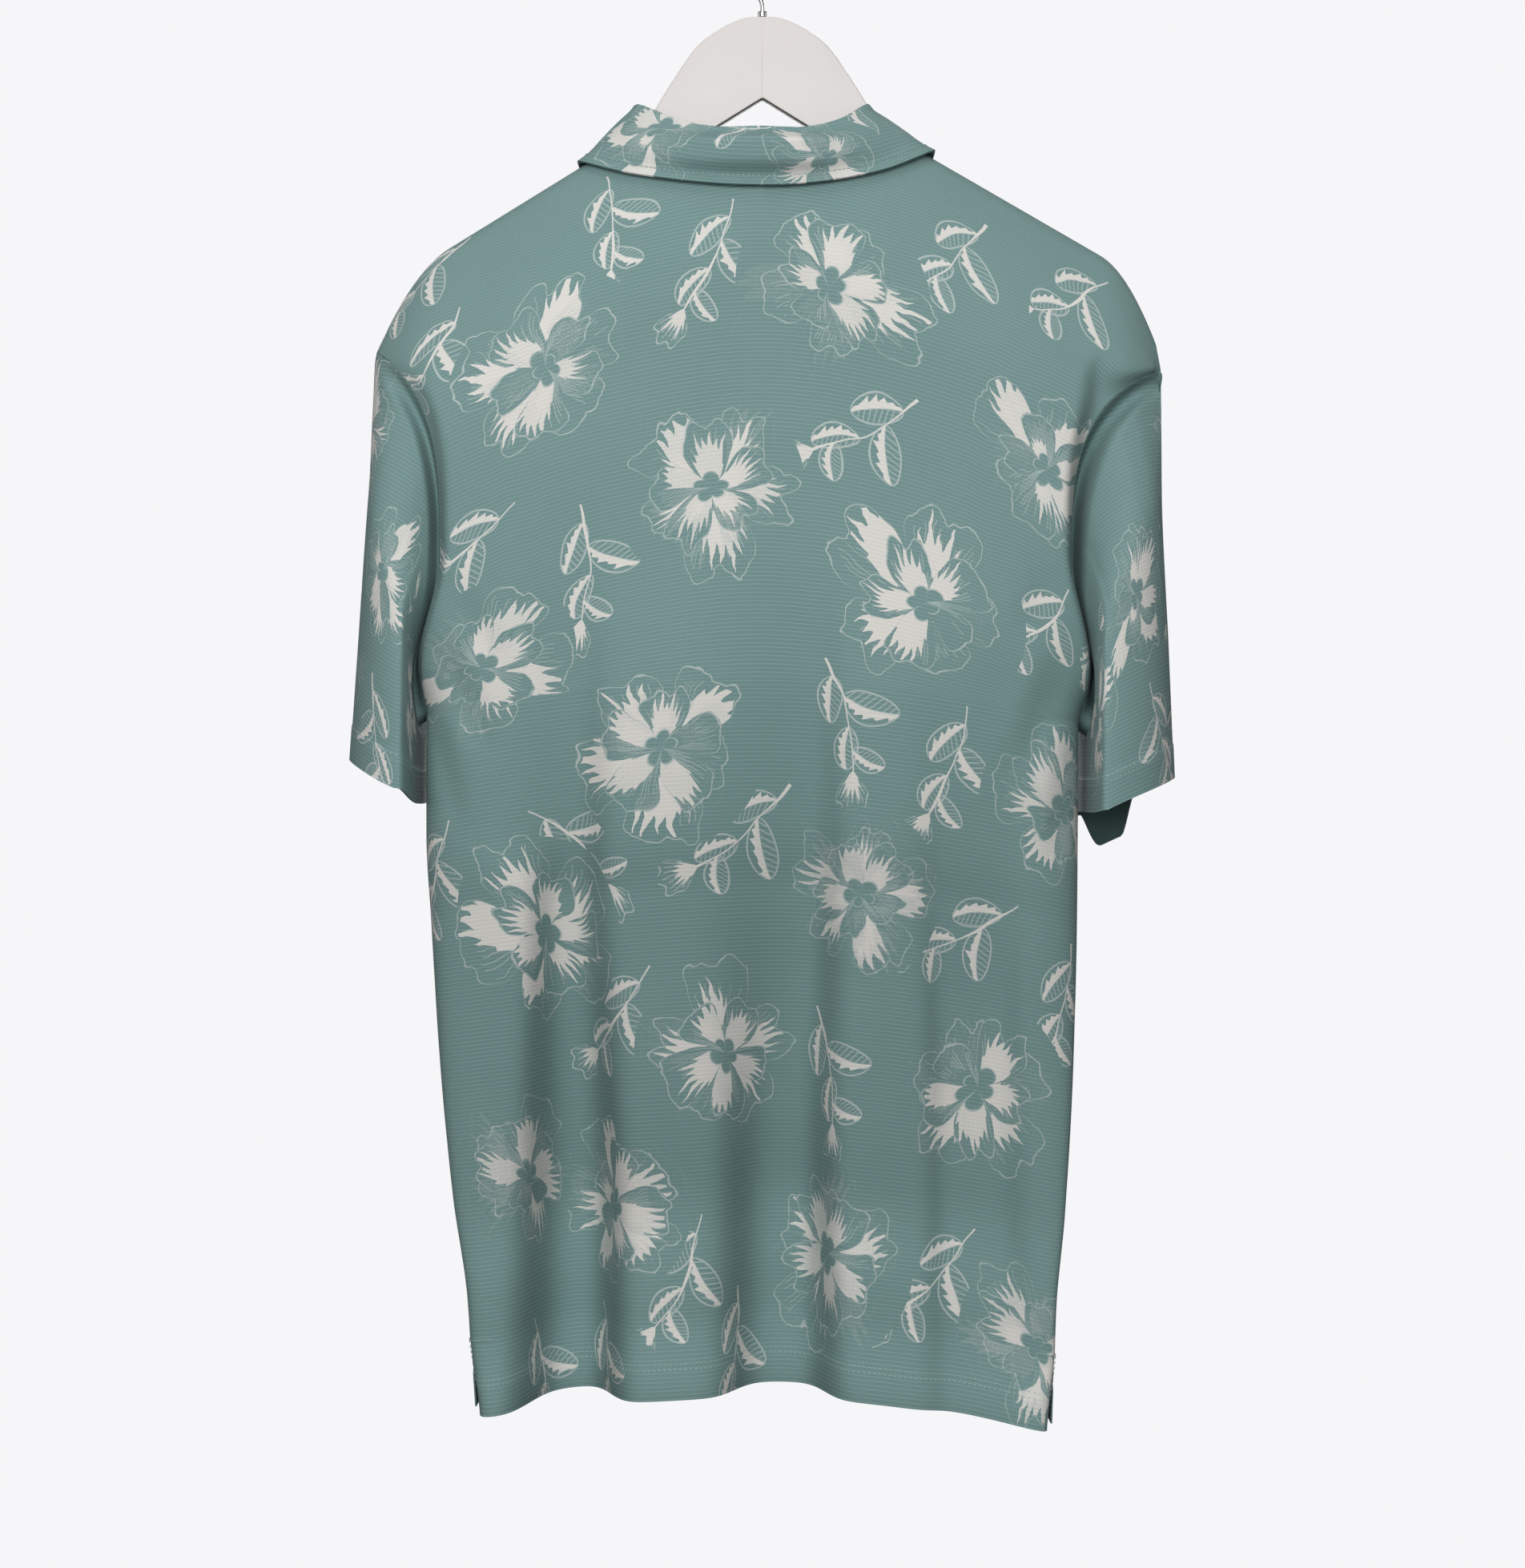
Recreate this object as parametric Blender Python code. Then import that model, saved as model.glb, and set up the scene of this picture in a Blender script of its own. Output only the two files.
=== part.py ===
"""A men's short-sleeved knit polo shirt, buttoned up, on a plain board hanger.

Z is up, the wearer's front faces -Y and the wearer's left is +X. The origin is the point under the
hook's crown where a rail would carry it. Lengths are in millimetres until they become mesh points.

The cloth is worked out from horizontal sections. Each one has its width from a table, and its depth
is found from the length of cloth cut for it, because the knit hangs without stretching.
"""

import functools
import math

import bpy
import numpy as np

MM = 0.001

# Cloth
WALL = 1.2
COLLAR_WALL = 1.4
SEAM_GAP = 0.3

# Heights below the hook's crown, down the centre line of the body
NECK_BACK = 165.0
NECK_FRONT = 204.0
SHOULDER_END = 240.0
UNDERARM = 468.0
VENT_TOP = 845.0
HEM = 892.0

# Shoulder crest: a straight slope from the neck, bent down over the end of each shoulder
NECK_HALF = 80.0
CREST_TOP = 134.5
CREST_SLOPE = {1: 0.617, -1: 0.578}
CREST_RADIUS = 9.0
CREST_REACH = 130.0
CREST_DEPTH = 62.0
BEND_START = {1: 190.0, -1: 205.0}
BEND_DROP = {1: 36.0, -1: 33.0}
SHOULDER_HALF = {1: 234.0, -1: 238.0}

# How far the sides of the cloth droop below its centre line, at the chest and at the hem
DROOP = {1: (20.0, 14.0), -1: (29.0, 24.0)}
DROOP_HALF = 200.0
DROOP_POWER = 1.8

SECTION_POWER = 4.0

# Outline of the body: height, half width to the left and right, the side seams' depth, and the
# length of cloth from seam to seam
BODY = (
    # height, left, right, seam_left, seam_right, cloth
    (240.0, 300.0, 300.0, 0.0, 0.0, 491.0),
    (365.0, 236.0, 232.0, 0.0, 0.0, 491.0),
    (430.0, 214.0, 205.0, 0.0, 0.0, 491.0),
    (468.0, 202.0, 190.0, 0.0, 0.0, 491.0),
    (540.0, 202.4, 189.8, 0.0, 0.0, 492.0),
    (590.0, 199.8, 189.3, 2.0, 4.0, 493.0),
    (675.0, 194.8, 187.0, 6.0, 10.0, 494.0),
    (765.0, 186.2, 181.4, 12.0, 20.0, 496.0),
    (825.0, 177.0, 175.2, 18.0, 28.0, 500.0),
    (892.0, 172.6, 172.8, 24.0, 36.0, 503.0),
)

# Armholes: the half width at the shoulder end and across the body, and the heights of the
# narrowest place and the bottom
ARMHOLE = {
    # side: shoulder, across, middle, bottom
    1: (234.0, 191.0, 390.0, 488.0),
    -1: (238.0, 184.5, 395.0, 497.0),
}
ARMHOLE_TURN = 3.4

# Hanging folds: the valleys between them, each with the place and softness of its left and right
# walls and its depth, by height
VALLEYS = {
    # face: a table for each valley of height, left, soft_left, right, soft_right, depth
    1: (
        (
            (330.0, 138.0, 40.0, 98.0, 11.0, 0.0),
            (430.0, 138.0, 40.0, 98.0, 10.0, 9.0),
            (540.0, 136.0, 26.0, 98.0, 10.0, 22.0),
            (590.0, 132.0, 9.0, 98.0, 10.0, 29.0),
            (680.0, 134.0, 10.0, 95.0, 10.0, 42.0),
            (780.0, 137.0, 10.5, 92.0, 10.0, 54.0),
            (892.0, 140.0, 11.0, 91.0, 10.5, 66.0),
        ),
        (
            (320.0, 15.0, 40.0, -39.0, 11.0, 0.0),
            (430.0, 14.0, 38.0, -40.0, 10.0, 9.0),
            (540.0, 13.0, 34.0, -41.0, 10.0, 22.0),
            (640.0, 13.0, 24.0, -40.0, 9.0, 32.0),
            (720.0, 14.0, 16.0, -37.0, 9.5, 40.0),
            (800.0, 15.0, 12.5, -37.0, 10.0, 47.0),
            (892.0, 17.0, 12.0, -37.0, 11.5, 50.0),
        ),
        (
            (420.0, -96.0, 12.0, -156.0, 30.0, 0.0),
            (560.0, -96.0, 9.0, -152.0, 12.0, 8.0),
            (650.0, -100.0, 8.0, -150.0, 8.0, 14.0),
            (780.0, -103.0, 8.5, -152.0, 9.0, 15.0),
            (892.0, -102.0, 10.0, -160.0, 30.0, 14.0),
        ),
    ),
    -1: (
        (
            (350.0, 84.0, 40.0, 40.0, 14.0, 0.0),
            (480.0, 84.0, 34.0, 38.0, 13.0, 8.0),
            (600.0, 80.0, 18.0, 36.0, 12.0, 20.0),
            (700.0, 78.0, 15.0, 36.0, 14.0, 30.0),
            (800.0, 76.0, 15.0, 34.0, 15.0, 38.0),
            (892.0, 76.0, 16.0, 32.0, 16.0, 44.0),
        ),
        (
            (380.0, -52.0, 14.0, -108.0, 40.0, 0.0),
            (520.0, -53.0, 12.0, -108.0, 34.0, 9.0),
            (640.0, -55.0, 13.0, -107.0, 16.0, 20.0),
            (760.0, -56.0, 14.0, -108.0, 14.0, 30.0),
            (892.0, -58.0, 15.0, -110.0, 15.0, 38.0),
        ),
        (
            (560.0, 150.0, 12.0, 124.0, 12.0, 0.0),
            (720.0, 152.0, 10.0, 122.0, 10.0, 7.0),
            (892.0, 156.0, 12.0, 120.0, 12.0, 11.0),
        ),
    ),
}

# Side vents: how far each edge has swung apart at the hem
VENT_SWING = 6.0
VENT_DRAW = 5.0

# Sleeves: a row for each ring below the armhole. The half widths are from the centre plane; the
# ridge is the fold at the back and front of the sleeve and depth is its reach from that plane.
SLEEVES = {
    1: (
        # along, outer, ridge, inner, depth, low_outer, low_back, low_inner, low_front, front_drop
        (0.38, 237.5, 212.0, 206.8, 71.0, 352.0, 428.0, 500.0, 430.0, 0.0),
        (0.70, 243.5, 213.0, 207.2, 75.0, 440.0, 482.0, 526.0, 484.0, 0.0),
        (1.00, 248.5, 213.5, 207.4, 77.0, 516.0, 529.0, 546.0, 526.0, 0.0),
    ),
    -1: (
        (0.38, 241.0, 203.0, 195.0, 71.0, 352.0, 430.0, 502.0, 432.0, 0.0),
        (0.70, 245.0, 202.0, 195.4, 76.0, 444.0, 492.0, 528.0, 496.0, 7.0),
        (1.00, 248.3, 201.0, 195.6, 79.0, 524.0, 546.0, 550.0, 556.0, 23.0),
    ),
}
SLEEVE_LEAVE = 8.0
SLEEVE_LEAVE_AT = 0.09
UNDERARM_LEAVE = (0.8, 0.0, 0.6)
ARC_POWER = 1.35
RIDGE_POWER = 0.75
HEM_POWER = 2.0

# Collar: a row for each place round the neck, from the centre back to the centre front
COLLAR = (
    # turn, stand, edge_half, edge_low, clearance
    (-45.0, 22.5, -77.0, 165.5, 3.2),
    (0.0, 25.0, 0.0, 177.0, 3.2),
    (45.0, 22.5, 77.0, 165.5, 3.2),
    (90.0, 18.5, 109.0, 153.5, 3.0),
    (125.0, 20.0, 90.0, 199.0, 3.6),
    (155.0, 20.0, 65.0, 233.0, 5.0),
    (178.0, 14.0, 46.0, 253.0, 6.0),
)
FOLD_RADIUS = 2.4
COLLAR_NARROW = {1: 2.0, -1: 8.0}
COLLAR_EDGE_SHARE = 0.6
FOOT_IN = 0.8
FOOT_UP = 0.6

# Placket and buttons
PLACKET_HALF = 16.0
PLACKET_LOW = 358.0
PLACKET_WALL = 1.5
BUTTON_RADIUS = 5.75
BUTTON_THICK = 2.6
BUTTON_STAND = 0.2
BUTTON_LOWS = (220.0, 272.0, 324.0)

# Hanger board and hook
BOARD_THICK = 8.0
BOARD_TOP = 62.0
BOARD_APEX = 112.0
CHEVRON_SLOPE = 0.62
BELL = (
    # half_width, low
    (9.0, 62.0),
    (19.0, 66.0),
    (31.5, 73.3),
    (40.0, 80.5),
    (50.5, 95.0),
    (60.0, 109.7),
    (69.5, 126.0),
    (78.0, 140.5),
)
ARM_END = 186.0
ARM_CLEARANCE = 5.0
WIRE_RADIUS = 1.3
HOOK_RADIUS = 21.0
HOOK_START_DEG = -52.0
HOOK_OPEN_DEG = 215.0
STEM_DEPTH = 16.0
FERRULE_RADIUS = 2.8
FERRULE_HEIGHT = 3.2
FERRULE_CHAMFER = 0.8

# The line about which the armhole's droop is read
ARMHOLE_LINE = 195.0

# Mesh steps
NECK_COLUMNS = 7
SHOULDER_COLUMNS = 10
CREST_ROWS = (0.0, 2.5, 9.0, 22.0)
ARM_ROWS = 8
BODY_ROWS = 11
SECTION_STEPS = 96
SLEEVE_ROWS = 8
COLLAR_STATIONS = 25


def clear_scene():
    for item in list(bpy.data.objects):
        bpy.data.objects.remove(item, do_unlink=True)


def material(name, colour, roughness, metallic=0.0):
    made = bpy.data.materials.new(name)
    made.use_nodes = True
    shader = made.node_tree.nodes["Principled BSDF"]
    shader.inputs["Base Color"].default_value = (*colour, 1.0)
    shader.inputs["Roughness"].default_value = roughness
    shader.inputs["Metallic"].default_value = metallic
    return made


def ease(x):
    """0 to 1 with level ends."""
    x = np.clip(x, 0.0, 1.0)
    return x * x * (3.0 - 2.0 * x)


def column(table, index):
    return [row[index] for row in table]


def smooth_through(positions, values, at):
    """A cubic through a table's values that never swings past them."""
    positions = np.asarray(positions, float)
    values = np.asarray(values, float)
    rates = np.diff(values) / np.diff(positions)
    before, after = rates[:-1], rates[1:]
    same_way = before * after > 0
    middle = np.where(same_way, 2 * before * after / np.where(same_way, before + after, 1.0), 0.0)
    slopes = np.concatenate([[rates[0]], middle, [rates[-1]]])
    i = np.clip(np.searchsorted(positions, at) - 1, 0, len(positions) - 2)
    span = positions[i + 1] - positions[i]
    t = np.clip((at - positions[i]) / span, 0.0, 1.0)
    rise = values[i + 1] - values[i]
    bend = slopes[i] * span - rise, slopes[i + 1] * span - rise
    return values[i] + t * rise + t * (1 - t) * ((1 - t) * bend[0] - t * bend[1])


# ---------------------------------------------------------------- the body's form


def crest_low(x):
    """How far below the hook the shoulder crest runs, over the line x."""
    x = np.asarray(x, float)
    slope = np.where(x >= 0, CREST_SLOPE[1], CREST_SLOPE[-1])
    low = CREST_TOP + slope * (np.abs(x) - NECK_HALF)
    for side in (1, -1):
        over = np.clip(side * x - BEND_START[side], 0.0, None)
        low = low + BEND_DROP[side] * (over / (SHOULDER_HALF[side] - BEND_START[side])) ** 2
    return low


def crest_share(x, low):
    """How much of its full depth the cloth has reached, at a height below the shoulder crest."""
    below = np.clip(low - crest_low(x), 0.0, None)
    near = np.clip(below / CREST_RADIUS, 0.0, 1.0)
    far = np.clip(below / CREST_REACH, 0.0, 1.0)
    round_part = CREST_RADIUS * np.sqrt(1.0 - (1.0 - near) ** 2)
    return (round_part + (CREST_DEPTH - CREST_RADIUS) * far * (2.0 - far)) / CREST_DEPTH


def droop(x, height):
    """How far the cloth at x hangs below the same course of the knit on the centre line."""
    share = ease((height - UNDERARM) / (HEM - UNDERARM))
    chest = np.where(np.asarray(x) >= 0, DROOP[1][0], DROOP[-1][0])
    hem = np.where(np.asarray(x) >= 0, DROOP[1][1], DROOP[-1][1])
    return (chest + (hem - chest) * share) * (np.abs(x) / DROOP_HALF) ** DROOP_POWER


@functools.cache
def valley_row(face, number, height):
    table = VALLEYS[face][number]
    return [float(smooth_through(column(table, 0), column(table, i), height)) for i in range(1, 6)]


def fold_depth(face, x, height):
    """How far the hanging folds take the cloth in, at x on one face of the body."""
    total = np.zeros_like(x)
    for number in range(len(VALLEYS[face])):
        left, soft_left, right, soft_right, depth = valley_row(face, number, height)
        walls = (1.0 + np.tanh((left - x) / soft_left)) * (1.0 + np.tanh((x - right) / soft_right))
        total = total - depth * walls / 4.0
    return total


def armhole_share(side, height, half):
    """Where the armhole cuts a section: the share of the section's depth left at its edge."""
    shoulder, across, middle, bottom = ARMHOLE[side]
    line = side * ARMHOLE_LINE
    top = SHOULDER_END + float(droop(line, SHOULDER_END))
    low = max(height + float(droop(line, height)), top)
    reach = across + (shoulder - across) * max((middle - low) / (middle - top), 0.0) ** ARMHOLE_TURN
    depth_share = (1.0 - (reach / half) ** SECTION_POWER) ** (1.0 / SECTION_POWER)
    below = np.clip((low - middle) / (bottom - middle), 0.0, 1.0)
    return depth_share * math.sqrt(1.0 - below**2.2)


@functools.cache
def body_row(height, name_index):
    return float(smooth_through(column(BODY, 0), column(BODY, name_index), height))


def half_section(face, side, height, depth):
    """Points (x, y, low) of one quarter of a section, from the centre line out to its edge."""
    half = body_row(height, 1 if side > 0 else 2)
    seam = body_row(height, 3 if side > 0 else 4)
    turn = math.pi / 2
    if height < UNDERARM:
        depth_share = armhole_share(side, height, half)
        turn = math.atan2((1.0 - depth_share**SECTION_POWER) ** (1.0 / SECTION_POWER), depth_share)
    angle = np.linspace(0.0, turn, SECTION_STEPS)
    reach = (np.sin(angle) ** SECTION_POWER + np.cos(angle) ** SECTION_POWER) ** (
        -1.0 / SECTION_POWER
    )
    share_x = reach * np.sin(angle)
    share_y = np.clip(reach * np.cos(angle), 0.0, None)
    swing = ease((height - VENT_TOP) / (HEM - VENT_TOP))
    draw = VENT_DRAW * swing * (face > 0)
    x = side * (half - draw) * share_x
    low = height + droop(x, height)
    outward = depth * share_y * crest_share(x, low)
    outward = outward + fold_depth(face, x, height) * np.clip(share_y * 1.6, 0.0, 1.0)
    outward = outward + VENT_SWING * swing * share_x**6 + SEAM_GAP / 2
    y = seam * share_x**3 + face * outward
    return x, y, low


def along(x, y, low):
    steps = np.sqrt(np.diff(x) ** 2 + np.diff(y) ** 2 + np.diff(low) ** 2)
    return np.concatenate([[0.0], np.cumsum(steps)])


@functools.cache
def section_depth(face, height):
    """The depth at which the section's own length is that of the cloth cut for it."""
    if height < UNDERARM:
        share = ease((height - SHOULDER_END) / (UNDERARM - SHOULDER_END))
        return CREST_DEPTH + (section_depth(face, UNDERARM) - CREST_DEPTH) * share
    cloth = body_row(height, 5)
    shallow, deep = 5.0, 140.0
    for _ in range(26):
        depth = (shallow + deep) / 2
        length = sum(along(*half_section(face, side, height, depth))[-1] for side in (1, -1))
        if length < cloth:
            shallow = depth
        else:
            deep = depth
    return depth


@functools.cache
def measured_section(face, side, height):
    x, y, low = half_section(face, side, height, section_depth(face, height))
    return x, y, low, along(x, y, low)


def at_share(face, height, share):
    """The point of a section at a share of its cloth: -1 right edge, 0 centre line, 1 left edge."""
    side = 1 if share >= 0 else -1
    x, y, low, length = measured_section(face, side, height)
    at = abs(share) * length[-1]
    return np.array([np.interp(at, length, values) for values in (x, y, low)])


def neck_low(face, x):
    """The neckline's height below the hook."""
    share = abs(x) / NECK_HALF
    lowest, power = (NECK_BACK, 2.5) if face > 0 else (NECK_FRONT, 2.2)
    return lowest - (lowest - CREST_TOP) * share**power


def surface_y(face, x, low):
    """The depth of the body's outer face at x, for a height above the underarm."""
    height = low - droop(x, low)
    side = 1 if x >= 0 else -1
    half = body_row(max(height, SHOULDER_END), 1 if side > 0 else 2)
    share = (1.0 - min(abs(x) / half, 1.0) ** SECTION_POWER) ** (1.0 / SECTION_POWER)
    depth = section_depth(face, height) * share * float(crest_share(x, low))
    return face * (depth + float(fold_depth(face, np.array([x]), height)[0]) + SEAM_GAP / 2)


# ---------------------------------------------------------------- walls of cloth


def grid_normals(points, closed=False):
    """Outward normals of a grid of points; rows run round or across, columns run down."""
    if closed:
        across = np.roll(points, -1, 1) - np.roll(points, 1, 1)
    else:
        across = np.gradient(points, axis=1)
    down = np.gradient(points, axis=0)
    normal = np.cross(across, down)
    return normal / np.maximum(np.linalg.norm(normal, axis=2, keepdims=True), 1e-9)


def wall(name, outer, normals, thickness, finish, closed=False, flip=False):
    """One closed solid: the outer grid, the same grid moved in by the thickness, and a rim."""
    rows, columns = outer.shape[:2]
    inner = outer - normals * thickness
    vertices = np.concatenate([outer.reshape(-1, 3), inner.reshape(-1, 3)]) * MM
    count = rows * columns
    quads = []

    def at(row, col):
        return row * columns + col % columns

    last = columns if closed else columns - 1
    for row in range(rows - 1):
        for col in range(last):
            quad = (at(row, col), at(row + 1, col), at(row + 1, col + 1), at(row, col + 1))
            quads.append(quad)
            quads.append(tuple(count + index for index in reversed(quad)))
    for col in range(last):
        a, b = at(0, col), at(0, col + 1)
        quads.append((a, b, count + b, count + a))
        a, b = at(rows - 1, col), at(rows - 1, col + 1)
        quads.append((b, a, count + a, count + b))
    if not closed:
        for row in range(rows - 1):
            a, b = at(row, 0), at(row + 1, 0)
            quads.append((b, a, count + a, count + b))
            a, b = at(row, columns - 1), at(row + 1, columns - 1)
            quads.append((a, b, count + b, count + a))
    if flip:
        quads = [tuple(reversed(quad)) for quad in quads]
    mesh = bpy.data.meshes.new(name)
    mesh.from_pydata(vertices.tolist(), [], quads)
    mesh.materials.append(finish)
    mesh.update()
    made = bpy.data.objects.new(name, mesh)
    bpy.context.collection.objects.link(made)
    return made


def to_world(point):
    return np.array([point[0], point[1], -point[2]])


def panel_shares(face):
    """Column positions: even across the neck, then even out to the shoulder end, on each side."""
    shares = []
    for side in (-1, 1):
        x, _, _, length = measured_section(face, side, SHOULDER_END)
        neck = np.interp(NECK_HALF, np.abs(x), length) / length[-1]
        one = np.concatenate(
            [
                np.linspace(0.0, neck, NECK_COLUMNS + 1),
                np.linspace(neck, 1.0, SHOULDER_COLUMNS + 1)[1:],
            ]
        )
        shares.append(side * one)
    return np.concatenate([shares[0][::-1], shares[1][1:]])


def column_top(face, x):
    """The course of the knit at which a column meets the neckline or the shoulder seam."""
    low = neck_low(face, x) if abs(x) < NECK_HALF - 0.5 else float(crest_low(x))
    return low - droop(x, SHOULDER_END)


def arm_heights(top):
    """The rows of a column from its top down to the underarm, close together over the crest."""
    last = CREST_ROWS[-1]
    return np.concatenate(
        [top + np.array(CREST_ROWS), np.linspace(top + last, UNDERARM, ARM_ROWS + 1)[1:]]
    )


@functools.cache
def panel_grid(face):
    """A panel's outer points, row by row from its top edge to the hem, right edge to left edge."""
    shares = panel_shares(face)
    body_heights = np.linspace(UNDERARM, HEM, BODY_ROWS + 1)[1:]
    grid = np.zeros((len(arm_heights(SHOULDER_END)) + BODY_ROWS, len(shares), 3))
    for col, share in enumerate(shares):
        x_top = at_share(face, SHOULDER_END, share)[0]
        top = column_top(face, x_top)
        for row, height in enumerate(np.concatenate([arm_heights(top), body_heights])):
            if height < SHOULDER_END:
                low = height + droop(x_top, height)
                grid[row, col] = (x_top, upper_y(face, x_top, low), -low)
            else:
                grid[row, col] = to_world(at_share(face, height, share))
    return grid


def make_panel(face, name, finish):
    grid = panel_grid(face)
    normals = grid_normals(grid) * face
    for col, x_top in enumerate(grid[0, :, 0]):
        if abs(x_top) >= NECK_HALF - 0.5:
            slope = float(crest_low(x_top + 1.0) - crest_low(x_top - 1.0)) / 2
            lean = np.array([slope, 0.0, 1.0])
            normals[0, col] = lean / np.linalg.norm(lean)
    for row in range(len(grid)):
        for col, side in ((0, -1), (-1, 1)):
            if grid[row, col, 2] < -ARMHOLE[side][-1] + 1.0:
                normals[row, col] = (side, 0.0, 0.0)
    return wall(name, grid, normals, WALL, finish, flip=face > 0)


def upper_y(face, x, low):
    half = body_row(SHOULDER_END, 1 if x >= 0 else 2)
    share = (1.0 - (abs(x) / half) ** SECTION_POWER) ** (1.0 / SECTION_POWER)
    return face * (CREST_DEPTH * share * float(crest_share(x, low)) + SEAM_GAP / 2)


# ---------------------------------------------------------------- sleeves


def armhole_ring(side):
    """The seam round the armhole and the panels' own direction across it, station by station:
    over the shoulder, down the back, under the arm and up the front."""
    last = len(arm_heights(SHOULDER_END)) - 1
    edge, inside = (-1, -2) if side > 0 else (0, 1)
    seam, across = [], []
    for face, rows in ((1, range(last + 1)), (-1, range(last - 1, 0, -1))):
        grid = panel_grid(face)
        for row in rows:
            point = grid[row, edge].copy()
            out = point - grid[row, inside]
            if row in (0, last):
                point[1] = out[1] = 0.0
            seam.append(point)
            across.append(out)
    seam, across = np.array(seam) * (1.0, 1.0, -1.0), np.array(across) * (1.0, 1.0, -1.0)
    run = np.roll(seam, -1, 0) - np.roll(seam, 1, 0)
    run /= np.linalg.norm(run, axis=1, keepdims=True)
    across -= run * (across * run).sum(axis=1, keepdims=True)
    return seam, across / np.linalg.norm(across, axis=1, keepdims=True)


def station_turns(seam):
    """An angle for each station, even along the seam: 0 over the shoulder, pi under the arm."""
    under = len(seam) // 2
    looped = np.vstack([seam, seam[:1]])
    length = np.concatenate([[0.0], np.cumsum(np.linalg.norm(np.diff(looped, axis=0), axis=1))])
    back = length[: under + 1] / length[under] * math.pi
    front = math.pi + (length[under + 1 : -1] - length[under]) / (length[-1] - length[under]) * math.pi
    return np.concatenate([back, front])


def sleeve_ring(side, row, turns):
    _, outer, ridge, inner, depth, low_outer, low_back, low_inner, low_front, front_drop = row
    cosine, sine = np.cos(turns), np.sin(turns)
    middle = low_front + (low_back - low_front) * (1 + sine) / 2
    out, inward = np.clip(cosine, 0.0, None), np.clip(-cosine, 0.0, None)
    x = ridge + (outer - ridge) * out**ARC_POWER + (inner - ridge) * inward**0.5
    low = middle + out**HEM_POWER * (low_outer - middle) + inward**HEM_POWER * (low_inner - middle)
    corner = ease((cosine - 0.02) / 0.38) * (1.0 - ease((cosine - 0.62) / 0.16)) * (sine < 0)
    y = depth * np.copysign(np.abs(sine) ** RIDGE_POWER, sine)
    return np.stack([side * x, y, low + front_drop * corner], axis=1)


def make_sleeve(side, name, finish):
    seam, out = armhole_ring(side)
    turns = station_turns(seam)
    rings = [sleeve_ring(side, row, turns) for row in SLEEVES[side]]
    _, _, middle, bottom = ARMHOLE[side]
    ahead = rings[0] - seam
    ahead /= np.linalg.norm(ahead, axis=1, keepdims=True)
    under = ease((seam[:, 2:] - middle) / (bottom - middle))
    leave = (out * 0.4 + ahead) * (1.0 - under) + np.array(UNDERARM_LEAVE) * (side, 1, 1) * under
    leave /= np.linalg.norm(leave, axis=1, keepdims=True)
    rings = [seam + out * SEAM_GAP, seam + leave * SLEEVE_LEAVE] + rings
    places = [0.0, SLEEVE_LEAVE_AT] + [row[0] for row in SLEEVES[side]]
    rings = np.array(rings)
    steps = np.linspace(0.0, 1.0, SLEEVE_ROWS + 1) ** 1.2
    grid = np.zeros((len(steps), len(seam), 3))
    for station in range(len(seam)):
        for axis in range(3):
            for row, step in enumerate(steps):
                grid[row, station, axis] = smooth_through(places, rings[:, station, axis], step)
    grid[:, :, 2] *= -1
    normals = grid_normals(grid, closed=True) * -side
    round_seam = np.roll(seam, -1, 0) - np.roll(seam, 1, 0)
    square = np.cross(round_seam, out) * (1.0, 1.0, -1.0) * side
    normals[0] = square / np.linalg.norm(square, axis=1, keepdims=True)
    return wall(name, grid, normals, WALL, finish, closed=True, flip=side < 0)


# ---------------------------------------------------------------- collar


def neck_point(turn_deg, side):
    """A point of the neckline, from the centre back round to the centre front."""
    x = side * NECK_HALF * math.sin(math.radians(turn_deg))
    face = 1 if turn_deg <= 90.0 else -1
    low = float(neck_low(face, x))
    return np.array([x, upper_y(face, x, low), -low])


def collar_section(turn_deg, side):
    """The centre line of the folded collar: up the stand, over the fold and down the fall."""
    turns = column(COLLAR, 0)
    stand, half, low, clearance = (
        float(smooth_through(turns, column(COLLAR, i), turn_deg)) for i in (1, 2, 3, 4)
    )
    face = 1 if turn_deg <= 90.0 else -1
    base = neck_point(turn_deg, side)
    inward = np.array([-base[0], -base[1], 0.0])
    inward /= np.linalg.norm(inward)
    up = np.array([0.0, 0.0, 1.0])
    foot = base + up * FOOT_UP + inward * FOOT_IN
    fold = base + up * stand + inward * 3.0
    edge_x = side * half
    edge_y = upper_y(face, edge_x, max(low, float(crest_low(edge_x))))
    edge = np.array([edge_x, edge_y, -low])
    slope, across = CREST_SLOPE[side], abs(math.sin(math.radians(turn_deg)))
    facing = face * abs(math.cos(math.radians(turn_deg))) ** 0.5
    away = np.array([side * slope * across, facing, 0.3])
    if abs(turn_deg - 90.0) < 1e-6:
        away = np.array([side * slope, 0.0, 1.0])
    edge = edge + away / np.linalg.norm(away) * clearance
    narrow = side * COLLAR_NARROW[side] * across**2
    fold[0] -= narrow
    edge += np.array([-narrow, 0.0, side * narrow * slope * 2.0]) * COLLAR_EDGE_SHARE
    spread = edge - fold
    spread[2] = 0.0
    out = spread / max(np.linalg.norm(spread), 1e-6)
    out = out * 0.5 - inward * 0.5
    out /= np.linalg.norm(out)
    below = fold - up * FOLD_RADIUS
    crown = below + up * FOLD_RADIUS + out * FOLD_RADIUS * 0.9
    outer = below + out * FOLD_RADIUS * 1.9 - up * 0.6
    middle = outer + (edge - outer) * 0.45 + out * 2.0
    return [foot, foot + (below - foot) * 0.5, below, crown, outer, middle, edge]


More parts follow.
